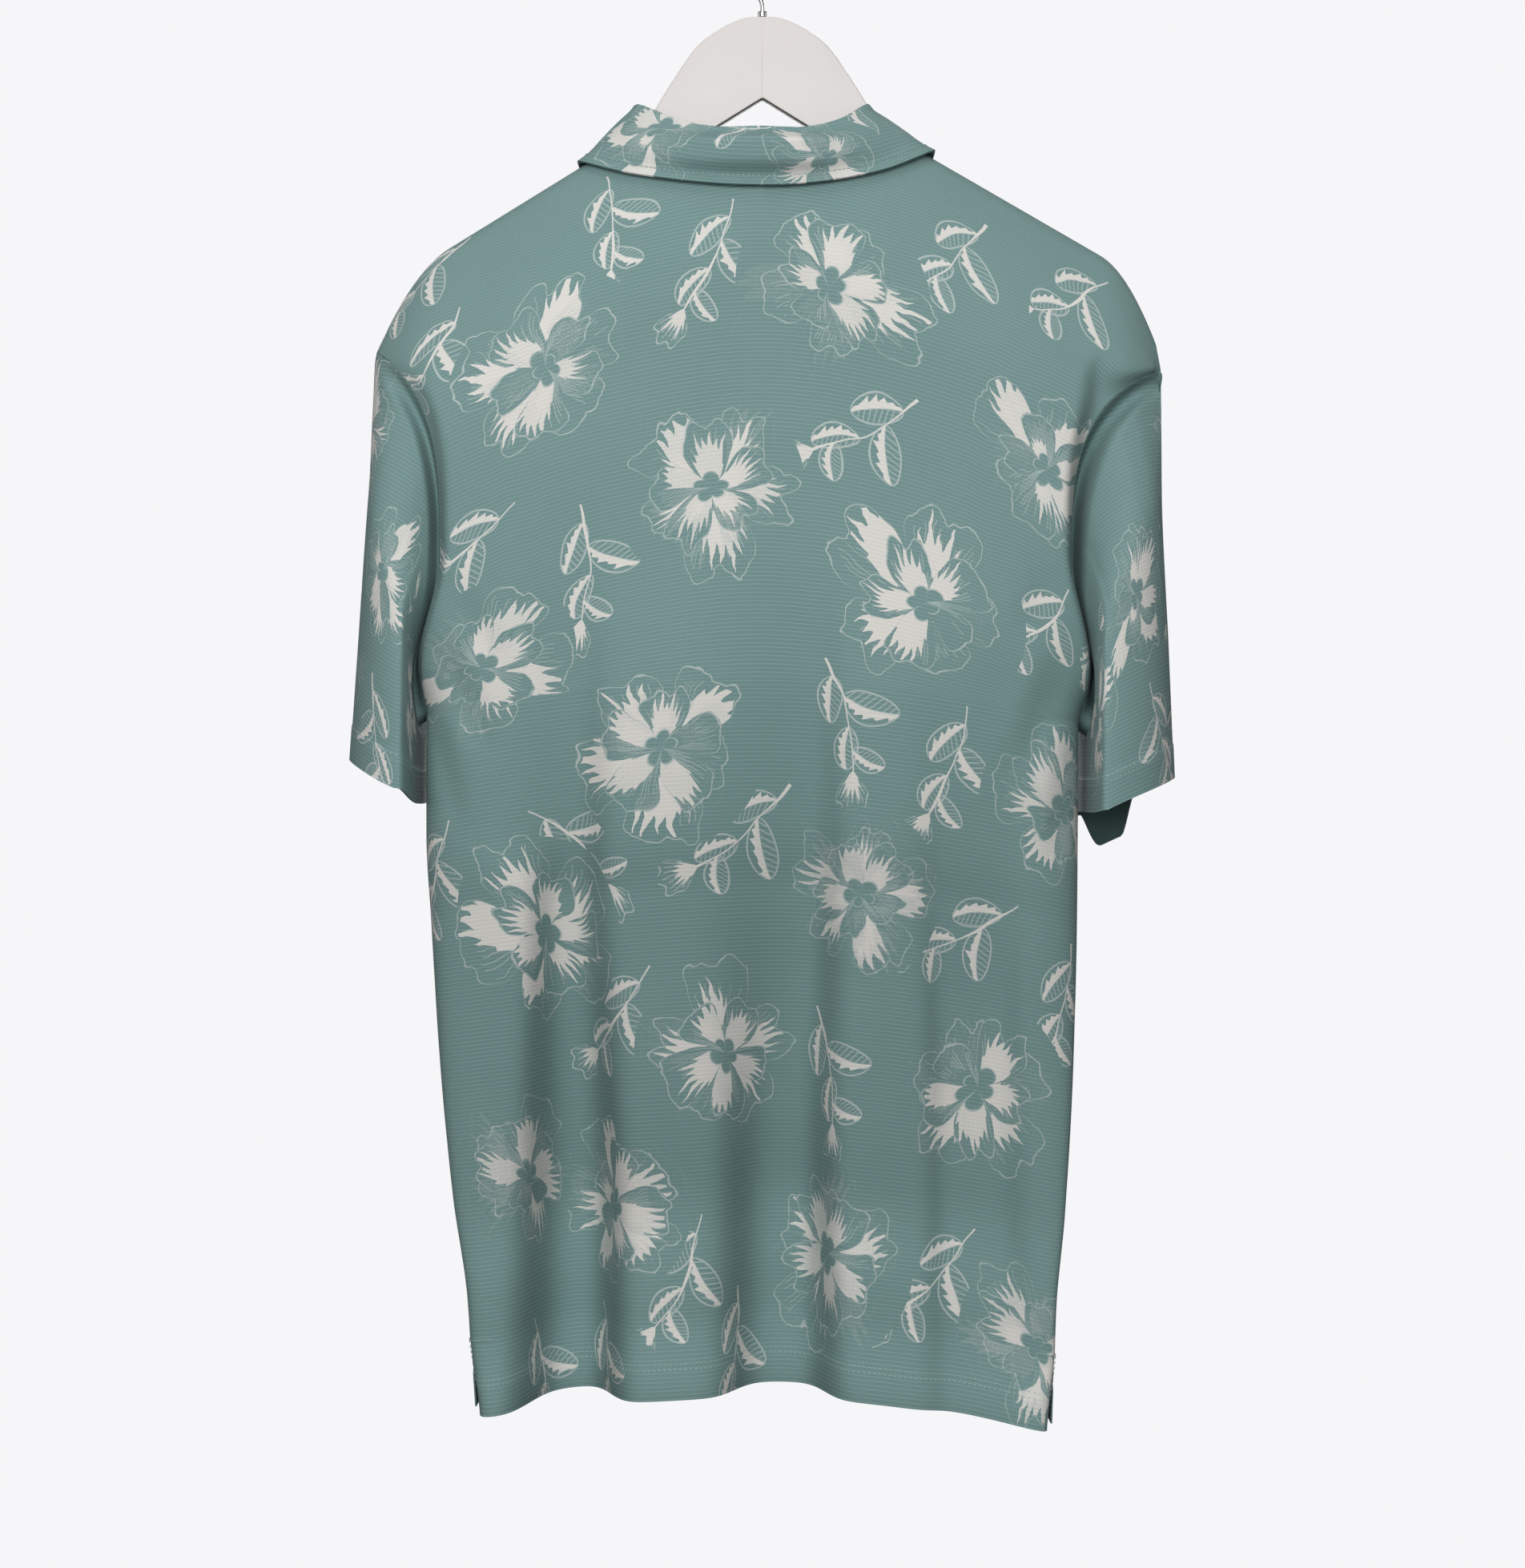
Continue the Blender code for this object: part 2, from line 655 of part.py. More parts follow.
def make_collar(finish):
    last = COLLAR[-1][0]
    turns = list(np.linspace(0.0, last, COLLAR_STATIONS))
    stations = [(turn, -1) for turn in reversed(turns)] + [(turn, 1) for turn in turns[1:]]
    grid = np.array([collar_section(turn, side) for turn, side in stations])
    grid = grid.transpose(1, 0, 2)
    normals = grid_normals(grid)
    outer = grid + normals * COLLAR_WALL / 2
    return wall("collar", outer, normals, COLLAR_WALL, finish, flip=True)


# ---------------------------------------------------------------- placket and buttons


def make_placket(finish):
    xs = np.linspace(-PLACKET_HALF, PLACKET_HALF, 7)
    grid = []
    for step in np.linspace(0.0, 1.0, 11):
        row = []
        for x in xs:
            top = float(neck_low(-1, x)) + FOOT_UP
            low = top + (PLACKET_LOW - top) * step
            row.append((x, surface_y(-1, x, low), -low))
        grid.append(row)
    grid = np.array(grid)
    normals = grid_normals(grid) * -1
    outer = grid + normals * (SEAM_GAP + PLACKET_WALL)
    return wall("placket", outer, normals, PLACKET_WALL, finish)


def turned(name, profile, centre, axis_y, finish, sides=20):
    """A closed turned piece; the profile is (radius, height) from its axis back to its axis."""
    vertices, faces = [], []
    rings = [ring for ring in profile if ring[0] > 0.0]
    for radius, height in rings:
        for index in range(sides):
            angle = 2 * math.pi * index / sides
            flat = (radius * math.cos(angle), radius * math.sin(angle))
            if axis_y:
                point = (centre[0] + flat[0], centre[1] - height, centre[2] + flat[1])
            else:
                point = (centre[0] + flat[0], centre[1] + flat[1], centre[2] + height)
            vertices.append([value * MM for value in point])
    for ring in range(len(rings) - 1):
        for index in range(sides):
            a = ring * sides + index
            b = ring * sides + (index + 1) % sides
            faces.append((a, b, b + sides, a + sides))
    faces.append(tuple(reversed(range(sides))))
    faces.append(tuple((len(rings) - 1) * sides + index for index in range(sides)))
    mesh = bpy.data.meshes.new(name)
    mesh.from_pydata(vertices, [], faces)
    mesh.materials.append(finish)
    mesh.update()
    made = bpy.data.objects.new(name, mesh)
    bpy.context.collection.objects.link(made)
    return made


def make_buttons(finish):
    rim = (
        (BUTTON_RADIUS - 0.6, 0.0),
        (BUTTON_RADIUS, 0.7),
        (BUTTON_RADIUS, BUTTON_THICK - 0.8),
        (BUTTON_RADIUS - 0.8, BUTTON_THICK),
        (BUTTON_RADIUS - 1.8, BUTTON_THICK - 0.7),
    )
    for index, low in enumerate(BUTTON_LOWS, 1):
        face = surface_y(-1, 0.0, low) - SEAM_GAP - PLACKET_WALL - SEAM_GAP
        slope = abs(surface_y(-1, 0.0, low + 6.0) - surface_y(-1, 0.0, low - 6.0)) / 2
        centre = (0.0, face - slope - BUTTON_STAND, -low)
        turned(f"button_{index}", rim, centre, True, finish)


# ---------------------------------------------------------------- hanger and hook


def make_hanger(finish):
    arm_top = [
        (x, float(crest_low(x)) + ARM_CLEARANCE) for x in np.linspace(96.0, ARM_END - 8.0, 4)
    ]
    upper = list(BELL) + arm_top
    end_low = arm_top[-1][1]
    chevron_low = BOARD_APEX + CHEVRON_SLOPE * (ARM_END - 8.0)
    middle, radius = (end_low + chevron_low) / 2, (chevron_low - end_low) / 2
    tip = [
        (ARM_END - 8.0 + radius * 0.7 * math.sin(angle), middle - radius * math.cos(angle))
        for angle in np.linspace(0.0, math.pi, 9)[1:-1]
    ]
    right = upper + tip + [(ARM_END - 8.0, chevron_low)]
    outline = right + [(0.0, BOARD_APEX)] + [(-x, low) for x, low in reversed(right)]
    half = BOARD_THICK / 2
    count = len(outline)
    vertices = [
        (x * MM, y * MM, -low * MM) for y in (-half, half) for x, low in outline
    ]
    faces = [tuple(reversed(range(count))), tuple(range(count, 2 * count))]
    for index in range(count):
        after = (index + 1) % count
        faces.append((index, after, count + after, count + index))
    mesh = bpy.data.meshes.new("hanger")
    mesh.from_pydata(vertices, [], faces)
    mesh.materials.append(finish)
    mesh.update()
    made = bpy.data.objects.new("hanger", mesh)
    bpy.context.collection.objects.link(made)
    edge = made.modifiers.new("edge", "BEVEL")
    edge.width = 1.2 * MM
    edge.segments = 2
    edge.limit_method = "ANGLE"
    edge.angle_limit = math.radians(60)
    bore = turned(
        "stem_bore",
        ((WIRE_RADIUS + SEAM_GAP, 0.0), (WIRE_RADIUS + SEAM_GAP, STEM_DEPTH + 10.0)),
        (0.0, 0.0, -(BOARD_TOP + STEM_DEPTH + 0.5)),
        False,
        finish,
        sides=12,
    )
    bore.hide_render = True
    bore.display_type = "WIRE"
    cut = made.modifiers.new("bore", "BOOLEAN")
    cut.operation = "DIFFERENCE"
    cut.object = bore
    return made


def hook_route():
    """Centre line of the wire: up the stem, round to one side and over the crown."""
    centre_low = HOOK_RADIUS
    radius = HOOK_RADIUS + WIRE_RADIUS
    route = [(0.0, BOARD_TOP + STEM_DEPTH), (0.0, BOARD_TOP), (0.0, BOARD_TOP - 6.0)]
    route += [(1.5, BOARD_TOP - 11.5), (6.5, BOARD_TOP - 15.5)]
    start = math.radians(HOOK_START_DEG)
    for angle in np.linspace(start, start + math.radians(HOOK_OPEN_DEG), 30):
        route.append((radius * math.cos(angle), centre_low - radius * math.sin(angle)))
    return route


def make_hook(finish):
    curve = bpy.data.curves.new("hook", "CURVE")
    curve.dimensions = "3D"
    curve.bevel_depth = WIRE_RADIUS * MM
    curve.bevel_resolution = 3
    curve.use_fill_caps = True
    route = hook_route()
    line = curve.splines.new("POLY")
    line.points.add(len(route) - 1)
    for point, (x, low) in zip(line.points, route):
        point.co = (x * MM, 0.0, -low * MM, 1.0)
    curve.materials.append(finish)
    made = bpy.data.objects.new("hook", curve)
    bpy.context.collection.objects.link(made)


def make_ferrule(finish):
    inside = WIRE_RADIUS + SEAM_GAP
    mesh = bpy.data.meshes.new("ferrule")
    sides = 20
    profile = (
        (inside, 0.0),
        (FERRULE_RADIUS, 0.0),
        (FERRULE_RADIUS, FERRULE_HEIGHT - FERRULE_CHAMFER),
        (FERRULE_RADIUS - FERRULE_CHAMFER, FERRULE_HEIGHT),
        (inside, FERRULE_HEIGHT),
    )
    vertices, faces = [], []
    for radius, height in profile:
        for index in range(sides):
            angle = 2 * math.pi * index / sides
            low = BOARD_TOP - SEAM_GAP - height
            point = (radius * math.cos(angle), radius * math.sin(angle), -low)
            vertices.append([value * MM for value in point])
    count = len(profile)
    for ring in range(count):
        for index in range(sides):
            a = ring * sides + index
            b = ring * sides + (index + 1) % sides
            c = (ring + 1) % count * sides + (index + 1) % sides
            d = (ring + 1) % count * sides + index
            faces.append((a, b, c, d))
    mesh.from_pydata(vertices, [], faces)
    mesh.materials.append(finish)
    mesh.update()
    made = bpy.data.objects.new("ferrule", mesh)
    bpy.context.collection.objects.link(made)


clear_scene()
teal_knit = material("teal_knit", (0.19, 0.28, 0.28), 0.9)
button_resin = material("button_resin", (0.75, 0.73, 0.68), 0.35)
board_white = material("board_white", (0.72, 0.69, 0.67), 0.6)
hook_steel = material("hook_steel", (0.62, 0.62, 0.62), 0.3, 1.0)
make_panel(1, "back", teal_knit)
make_panel(-1, "front", teal_knit)
make_sleeve(1, "sleeve_left", teal_knit)
make_sleeve(-1, "sleeve_right", teal_knit)
make_collar(teal_knit)
make_placket(teal_knit)
make_buttons(button_resin)
make_hanger(board_white)
make_hook(hook_steel)
make_ferrule(hook_steel)
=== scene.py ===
"""A men's short-sleeved printed knit polo shirt, buttoned up, on a plain white board hanger."""

import functools
import math

import bmesh
import bpy
import numpy as np
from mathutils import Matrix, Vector


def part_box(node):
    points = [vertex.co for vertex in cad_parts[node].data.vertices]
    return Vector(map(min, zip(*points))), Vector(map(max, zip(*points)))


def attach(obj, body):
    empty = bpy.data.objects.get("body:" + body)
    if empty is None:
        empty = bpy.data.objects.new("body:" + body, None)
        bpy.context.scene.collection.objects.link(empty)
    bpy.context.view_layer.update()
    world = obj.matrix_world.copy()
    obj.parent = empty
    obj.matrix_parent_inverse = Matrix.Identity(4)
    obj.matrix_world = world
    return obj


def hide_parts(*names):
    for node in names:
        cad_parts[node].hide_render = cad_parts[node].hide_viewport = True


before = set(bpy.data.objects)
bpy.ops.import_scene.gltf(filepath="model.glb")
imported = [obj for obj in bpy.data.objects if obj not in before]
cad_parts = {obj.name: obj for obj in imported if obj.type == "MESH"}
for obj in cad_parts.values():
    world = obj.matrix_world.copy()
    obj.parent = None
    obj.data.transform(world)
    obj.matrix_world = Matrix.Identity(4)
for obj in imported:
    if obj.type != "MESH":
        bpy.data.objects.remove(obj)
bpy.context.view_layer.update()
MM = 0.001


# ---------------------------------------------------------------- camera
# The shirt is seen square on from behind, a long step back and level with its middle.
CAMERA_BACK = 1.8
CAMERA_LOW = 528.0
VIEW_HEIGHT = 953.5

bpy.ops.object.select_all(action="DESELECT")
bpy.ops.object.camera_add(
    location=(0.0, CAMERA_BACK, -CAMERA_LOW * MM), rotation=(math.pi / 2, 0.0, math.pi)
)
camera = bpy.context.object
camera.data.sensor_fit = "VERTICAL"
camera.data.sensor_width = 36.0
camera.data.sensor_height = 36.0
camera.data.lens = 36.0 * CAMERA_BACK / (VIEW_HEIGHT * MM)
bpy.context.scene.camera = camera


# ---------------------------------------------------------------- printed knit
# A fine rib knit: pairs of courses stand up as ribs, with a pin-dot face. The print lies on its
# face as off-white brush marks and pen lines; its motifs are drawn in each motif's own frame.
RIB_PITCH = 2.45
DOT_PITCH = 1.30
TEAL = (0.158, 0.268, 0.262)
# The next two colours are the teal darkened as painted shade in the gaps between ribs and loops, and
# lightened as painted highlight on their tops.
TEAL_PAINTED_SHADE = (0.105, 0.190, 0.187)
TEAL_PAINTED_HIGHLIGHT = (0.235, 0.352, 0.343)
PRINT_WHITE = (0.690, 0.650, 0.614)
LINE_WHITE = (0.500, 0.545, 0.530)
# The reverse side takes the knit colour darkened to this share, as painted shade inside the shirt.
REVERSE_PAINTED_SHADE = 0.62
KNIT_SURFACE = {
    "Roughness": 0.88, "Specular IOR Level": 0.25, "Sheen Weight": 0.05, "Sheen Roughness": 0.5
}
KNIT_BUMP = (0.30, 0.00035)
PETALS = 5
WHORL_TURN = 0.63
LEAVES = (
    # along, turn_deg, length, width
    (0.16, 38.0, 0.42, 0.115),
    (0.36, -44.0, 0.46, 0.125),
    (0.60, 34.0, 0.36, 0.105),
    (0.78, -38.0, 0.30, 0.090),
)


class Socket:
    """A value in a material. Sums on it add Math nodes, and node() adds any other kind."""

    def __init__(self, tree, socket):
        self.tree = tree
        self.socket = socket

    def node(self, kind, inputs, output=0, **settings):
        made = self.tree.nodes.new(kind)
        for name, value in settings.items():
            setattr(made, name, value)
        for name, value in inputs.items():
            if isinstance(value, Socket):
                self.tree.links.new(value.socket, made.inputs[name])
            else:
                made.inputs[name].default_value = value
        return Socket(self.tree, made.outputs[output])

    def math(self, operation, *others):
        inputs = dict(enumerate((self, *others)))
        return self.node("ShaderNodeMath", inputs, operation=operation)

    def __add__(self, other):
        return self.math("ADD", other)

    def __sub__(self, other):
        return self.math("SUBTRACT", other)

    def __rsub__(self, other):
        return self.node("ShaderNodeMath", {0: other, 1: self}, operation="SUBTRACT")

    def __mul__(self, other):
        return self.math("MULTIPLY", other)

    def __truediv__(self, other):
        return self.math("DIVIDE", other)

    def __rtruediv__(self, other):
        return self.node("ShaderNodeMath", {0: other, 1: self}, operation="DIVIDE")

    def __pow__(self, other):
        return self.math("POWER", other)

    def __lt__(self, other):
        return self.math("LESS_THAN", other)

    def __gt__(self, other):
        return self.math("GREATER_THAN", other)

    __radd__ = __add__
    __rmul__ = __mul__

    def abs(self):
        return self.math("ABSOLUTE")

    def wave(self):
        return self.math("SINE")

    def least(self, other):
        return self.math("MINIMUM", other)

    def most(self, other):
        return self.math("MAXIMUM", other)

    def step(self, low, high):
        """0 below low and 1 above high, with a smooth rise between them."""
        inputs = {"Value": self, "From Min": low, "From Max": high}
        return self.node("ShaderNodeMapRange", inputs, interpolation_type="SMOOTHSTEP")

    def point(self, x, y, z=0.0):
        return self.node("ShaderNodeCombineXYZ", {0: x, 1: y, 2: z})

    def apart(self):
        return [self.node("ShaderNodeSeparateXYZ", {0: self}, output=i) for i in range(3)]

    def noise(self, scale, detail=1.0, roughness=0.5):
        inputs = {"Vector": self, "Scale": scale, "Detail": detail, "Roughness": roughness}
        return self.node("ShaderNodeTexNoise", inputs)

    def random(self):
        """A random number for each whole-number point."""
        return self.node("ShaderNodeTexWhiteNoise", {"Vector": self}, noise_dimensions="3D")

    def blend(self, first, second):
        """The first colour where this is 0 and the second where it is 1."""
        inputs = {"Factor": self, 6: first, 7: second}
        return self.node("ShaderNodeMix", inputs, output=2, data_type="RGBA")

    def uv(self, layer):
        return self.node("ShaderNodeUVMap", {}, uv_map=layer)

    def place(self):
        """The point on the object itself."""
        return self.node("ShaderNodeTexCoord", {}, output=3)

    def feed(self, shader, name):
        self.tree.links.new(self.socket, shader.inputs[name])

    def raise_surface(self, shader, strength, distance):
        inputs = {"Height": self, "Strength": strength, "Distance": distance}
        self.node("ShaderNodeBump", inputs).feed(shader, "Normal")


def new_material(name, values):
    """A material, its shader with the given values set, and a socket to start sums from."""
    made = bpy.data.materials.new(name)
    made.use_nodes = True
    shader = made.node_tree.nodes["Principled BSDF"]
    for key, value in values.items():
        shader.inputs[key].default_value = value
    return made, shader, Socket(made.node_tree, None)


def pen(distance, width):
    """A thin line where a distance is near nought."""
    return 1.0 - (distance.abs() / width).step(0.55, 1.25)


def brush_teeth(across, seed, count, sharp):
    """Uneven pointed teeth of a brush mark, from 0 between them to 1 at the longest tip."""
    at = across * count
    tooth = 1.0 - (at.math("FRACT") - 0.5).abs() * 2.0
    length = across.point(at.math("FLOOR"), seed, 3.0).random()
    return tooth**sharp * (length * 0.8 + 0.2)


def petal_layer(x, y, seed, petals, reach, layer):
    """One whorl of petals: (filled brush mark, pen lines, how far out its petals reach)."""
    radius = (x * x + y * y).math("SQRT")
    around = (y.math("ARCTAN2", x) / (2.0 * math.pi) + 0.5) * petals
    petal = around.math("FLOOR")
    across = (around.math("FRACT") - 0.5) * 2.0
    first = x.point(petal, seed, layer).random()
    second = x.point(petal, seed, layer + 7.0).random()
    curl = x.point(x, y, seed).noise(3.4, 2.0)
    length = (first * 0.42 + 0.68) * reach
    notch = (1.0 - (across * 3.2).abs()).most(0.0) * 0.11
    body = (1.0 - across.abs() ** 3.0).most(0.0) ** 0.42
    scallop = ((across + second) * 9.5).wave() * 0.035
    edge = length * (body - notch + scallop + (curl - 0.5) * 0.34)
    side = (second - 0.5) * 1.3
    window = 1.0 - ((across - side) / 0.95).abs() ** 2.2
    teeth = brush_teeth(across + curl * 0.35, petal + seed, 4.6, 1.6)
    root = length * (0.20 + 0.10 * (1.0 - across * across))
    filled_to = root + length * window * (second * 0.34 + 0.20 + teeth * 0.46)
    filled = (radius > root) * (radius < filled_to.least(edge * 0.97)) * (window > 0.05)
    filled = filled * (first > 0.22)
    hatch_at = (across + curl * 0.30) * 10.0
    strand = x.point(hatch_at.math("FLOOR"), petal + seed, 9.0).random()
    hatch = pen((hatch_at.math("FRACT") - 0.5) / 10.0 * radius, 0.0062)
    hatch = hatch * (radius > filled_to * (strand * 0.25 + 0.85))
    hatch = hatch * (radius < edge * (strand * 0.3 + 0.62)) * (strand > 0.35)
    outline = pen(radius - edge, 0.0078)
    rim = pen(radius - root * 0.96, 0.0070) * (window > 0.0)
    return filled, outline.most(hatch * 0.8).most(rim), edge


def blossom(x, y, seed):
    """An open five-petalled flower with a second whorl behind it and a ring of stamens."""
    wander = x.point(x + seed * 3.1, y, seed).noise(1.6, 1.0)
    x = x + (wander - 0.5) * 0.22
    y = y - (wander - 0.5) * 0.22
    front, front_lines, front_edge = petal_layer(x, y, seed, PETALS, 0.72, 1.0)
    cosine, sine = math.cos(WHORL_TURN), math.sin(WHORL_TURN)
    turned_x = x * cosine - y * sine
    turned_y = x * sine + y * cosine
    behind, behind_lines, _ = petal_layer(turned_x, turned_y, seed + 5.0, PETALS, 0.98, 2.0)
    radius = (x * x + y * y).math("SQRT")
    outside = radius > front_edge * 1.02
    filled = front.most(behind * outside)
    lines = front_lines.most(behind_lines * outside)
    return filled, lines


def leaf(x, y, seed, along, turn, length, width):
    """A leaf off the stem: one half brushed in with teeth, the other left as pen lines."""
    base_y = 0.30 * along * along
    cosine, sine = math.cos(math.radians(turn)), math.sin(math.radians(turn))
    out = ((x - along) * cosine + (y - base_y) * sine) / length
    wide = ((y - base_y) * cosine - (x - along) * sine) / width
    inside = (out > 0.0) * (out < 1.0)
    half = (out * (1.0 - out)).most(0.0) ** 0.62 * 2.35
    bent = wide + (out * out - out) * 0.9
    teeth = brush_teeth(out + bent * 0.25, seed + along * 10.0, 5.5, 1.3)
    filled = inside * (bent > 0.0) * (bent < half * (0.42 + 0.5 * teeth))
    outline = pen((bent.abs() - half) * width, 0.0085) * inside
    vein = pen(bent * width, 0.0075) * inside
    ribs = pen(((out * 9.0 - bent.abs() * 1.6).math("FRACT") - 0.5) * 0.045, 0.0065)
    ribs = ribs * inside * (bent < 0.0) * (bent.abs() < half * 0.9)
    return filled, outline.most(vein).most(ribs * 0.7)


def sprig(x, y, seed):
    """A bowed stem with alternate leaves and a half-open bud at its tip."""
    wander = x.point(x, y + seed * 2.3, seed).noise(2.1, 1.0)
    y = y + (wander - 0.5) * 0.13
    stem = y - x * x * 0.30
    on_stem = (x > 0.0) * (x < 0.96)
    filled = on_stem * (stem.abs() < 0.004 + 0.010 * (x * 6.0 + seed).wave().most(0.0))
    lines = pen(stem, 0.0085) * on_stem
    for row in LEAVES:
        leaf_filled, leaf_lines = leaf(x, y, seed, *row)
        filled = filled.most(leaf_filled)
        lines = lines.most(leaf_lines)
    out = (x - 0.93) * 0.86 + (y - 0.26) * 0.51
    wide = (y - 0.26) * 0.86 - (x - 0.93) * 0.51
    reach = (out * out + wide * wide).math("SQRT") / 0.34
    around = wide.math("ARCTAN2", out)
    open_to = (1.0 - (around / 0.82).abs() ** 2.6).most(0.0)
    teeth = brush_teeth(around * 0.9 + wander * 0.3, seed, 5.2, 1.2)
    filled = filled.most((reach < open_to * (0.42 + 0.50 * teeth)) * (reach > 0.02))
    lobes = open_to**0.5 * (0.93 + 0.07 * (around * 15.0).wave())
    lines = lines.most(pen(reach - lobes, 0.022) * (reach > 0.05))
    strands = pen(((around * 6.5).math("FRACT") - 0.5) * reach * 0.15, 0.014)
    lines = lines.most(strands * (reach < lobes * 0.86) * (reach > 0.35) * 0.75)
    return filled, lines


def knit_material(name, printed):
    made, shader, start = new_material(name, KNIT_SURFACE)
    uv = start.uv("cloth")
    across, down, _ = uv.apart()
    across = across / MM
    down = down / MM
    course = down / (RIB_PITCH / 2.0)
    stagger = (course.math("FLOOR") * 0.5).math("FRACT")
    loop_across = (across / DOT_PITCH + stagger).math("FRACT") - 0.5
    loop_down = course.math("FRACT") - 0.5
    loop = 1.0 - (loop_across * loop_across * 4.0 + loop_down * loop_down * 4.0).step(0.15, 1.15)
    rib = (down * (2.0 * math.pi / RIB_PITCH)).wave() * 0.5 + 0.5
    yarn = uv.noise(1400.0, 2.0, 0.6)
    drift = uv.noise(9.0, 3.0, 0.55)
    # The loops and rib tops are painted lighter and the gaps between them darker, as painted highlight
    # and painted shade. The yarn and drift noise adds the knit's real random tone.
    tone = loop * 0.46 + rib * 0.34 + (yarn - 0.5) * 0.34 + (drift - 0.5) * 0.20 + 0.02
    teal = tone.step(-0.1, 1.0).blend((*TEAL_PAINTED_SHADE, 1.0), (*TEAL_PAINTED_HIGHLIGHT, 1.0))
    colour = (tone.step(0.25, 0.75) * 0.45).blend(teal, (*TEAL, 1.0))
    if printed:
        bloom_seed, sprig_seed, _ = start.uv("seed").apart()
        bloom_x, bloom_y, _ = start.uv("bloom").apart()
        sprig_x, sprig_y, _ = start.uv("sprig").apart()
        bloom_filled, bloom_lines = blossom(bloom_x, bloom_y, bloom_seed)
        sprig_filled, sprig_lines = sprig(sprig_x, sprig_y, sprig_seed)
        clear_of_bloom = (bloom_x * bloom_x + bloom_y * bloom_y) > 1.0
        filled = bloom_filled.most(sprig_filled * clear_of_bloom)
        lines = bloom_lines.most(sprig_lines * clear_of_bloom)
        # The print's white is also painted tealer and darker in the rib gaps, as painted shade.
        rows = 0.88 + 0.12 * rib + (yarn - 0.5) * 0.10
        white = (rows * 0.9).blend((*TEAL_PAINTED_HIGHLIGHT, 1.0), (*PRINT_WHITE, 1.0))
        colour = (lines * (0.52 + 0.25 * yarn)).blend(colour, (*LINE_WHITE, 1.0))
        colour = filled.blend(colour, white)
    else:
        # The reverse is painted darker, as painted shade.
        shade = {"Factor": REVERSE_PAINTED_SHADE, 6: (0.0, 0.0, 0.0, 1.0), 7: colour}
        colour = start.node("ShaderNodeMix", shade, output=2, data_type="RGBA")
    colour.feed(shader, "Base Color")
    (loop * 0.5 + rib * 0.5 + yarn * 0.15).raise_surface(shader, *KNIT_BUMP)
    return made


printed_knit = knit_material("printed_knit", True)
knit_reverse = knit_material("knit_reverse", False)


# ---------------------------------------------------------------- back and front
# The back and the front are one panel each, joined at the shoulders and down the sides to the
# vents. The cloth hangs from the hanger's arms, drawn in a little towards the hem in long folds.
CLOTH_THICK = 1.0
SEAM_GAP = 0.3
NECK_BACK = 165.0
NECK_FRONT = 204.0
SHOULDER_END = 240.0
UNDERARM = 468.0
VENT_TOP = 845.0
HEM = 892.0
HEM_TURN_UP = 20.5
HEM_STAND = 0.45

NECK_HALF = 80.0
CREST_TOP = 134.5
CREST_SLOPE = {1: 0.617, -1: 0.578}
CREST_RADIUS = 9.0
CREST_REACH = 130.0
CREST_DEPTH = 62.0
BEND_START = {1: 190.0, -1: 205.0}
BEND_DROP = {1: 36.0, -1: 33.0}
SHOULDER_HALF = {1: 234.0, -1: 238.0}
DROOP = {1: (20.0, 14.0), -1: (29.0, 24.0)}
DROOP_HALF = 200.0
DROOP_POWER = 1.8
SECTION_POWER = 4.0
BODY = (
    # height, left, right, seam_left, seam_right, cloth
    (240.0, 300.0, 300.0, 0.0, 0.0, 491.0),
    (365.0, 236.0, 232.0, 0.0, 0.0, 491.0),
    (430.0, 214.0, 205.0, 0.0, 0.0, 491.0),
    (468.0, 202.0, 190.0, 0.0, 0.0, 491.0),
    (540.0, 202.4, 189.8, 0.0, 0.0, 492.0),
    (590.0, 199.8, 189.3, 2.0, 4.0, 493.0),
    (675.0, 194.8, 187.0, 6.0, 10.0, 494.0),
    (765.0, 186.2, 181.4, 12.0, 20.0, 496.0),
    (825.0, 177.0, 175.2, 18.0, 28.0, 500.0),
    (892.0, 172.6, 172.8, 24.0, 36.0, 503.0),
)
ARMHOLE = {
    # side: shoulder, across, middle, bottom
    1: (234.0, 191.0, 390.0, 488.0),
    -1: (238.0, 184.5, 395.0, 497.0),
}
ARMHOLE_TURN = 3.4
ARMHOLE_ACROSS = 195.0
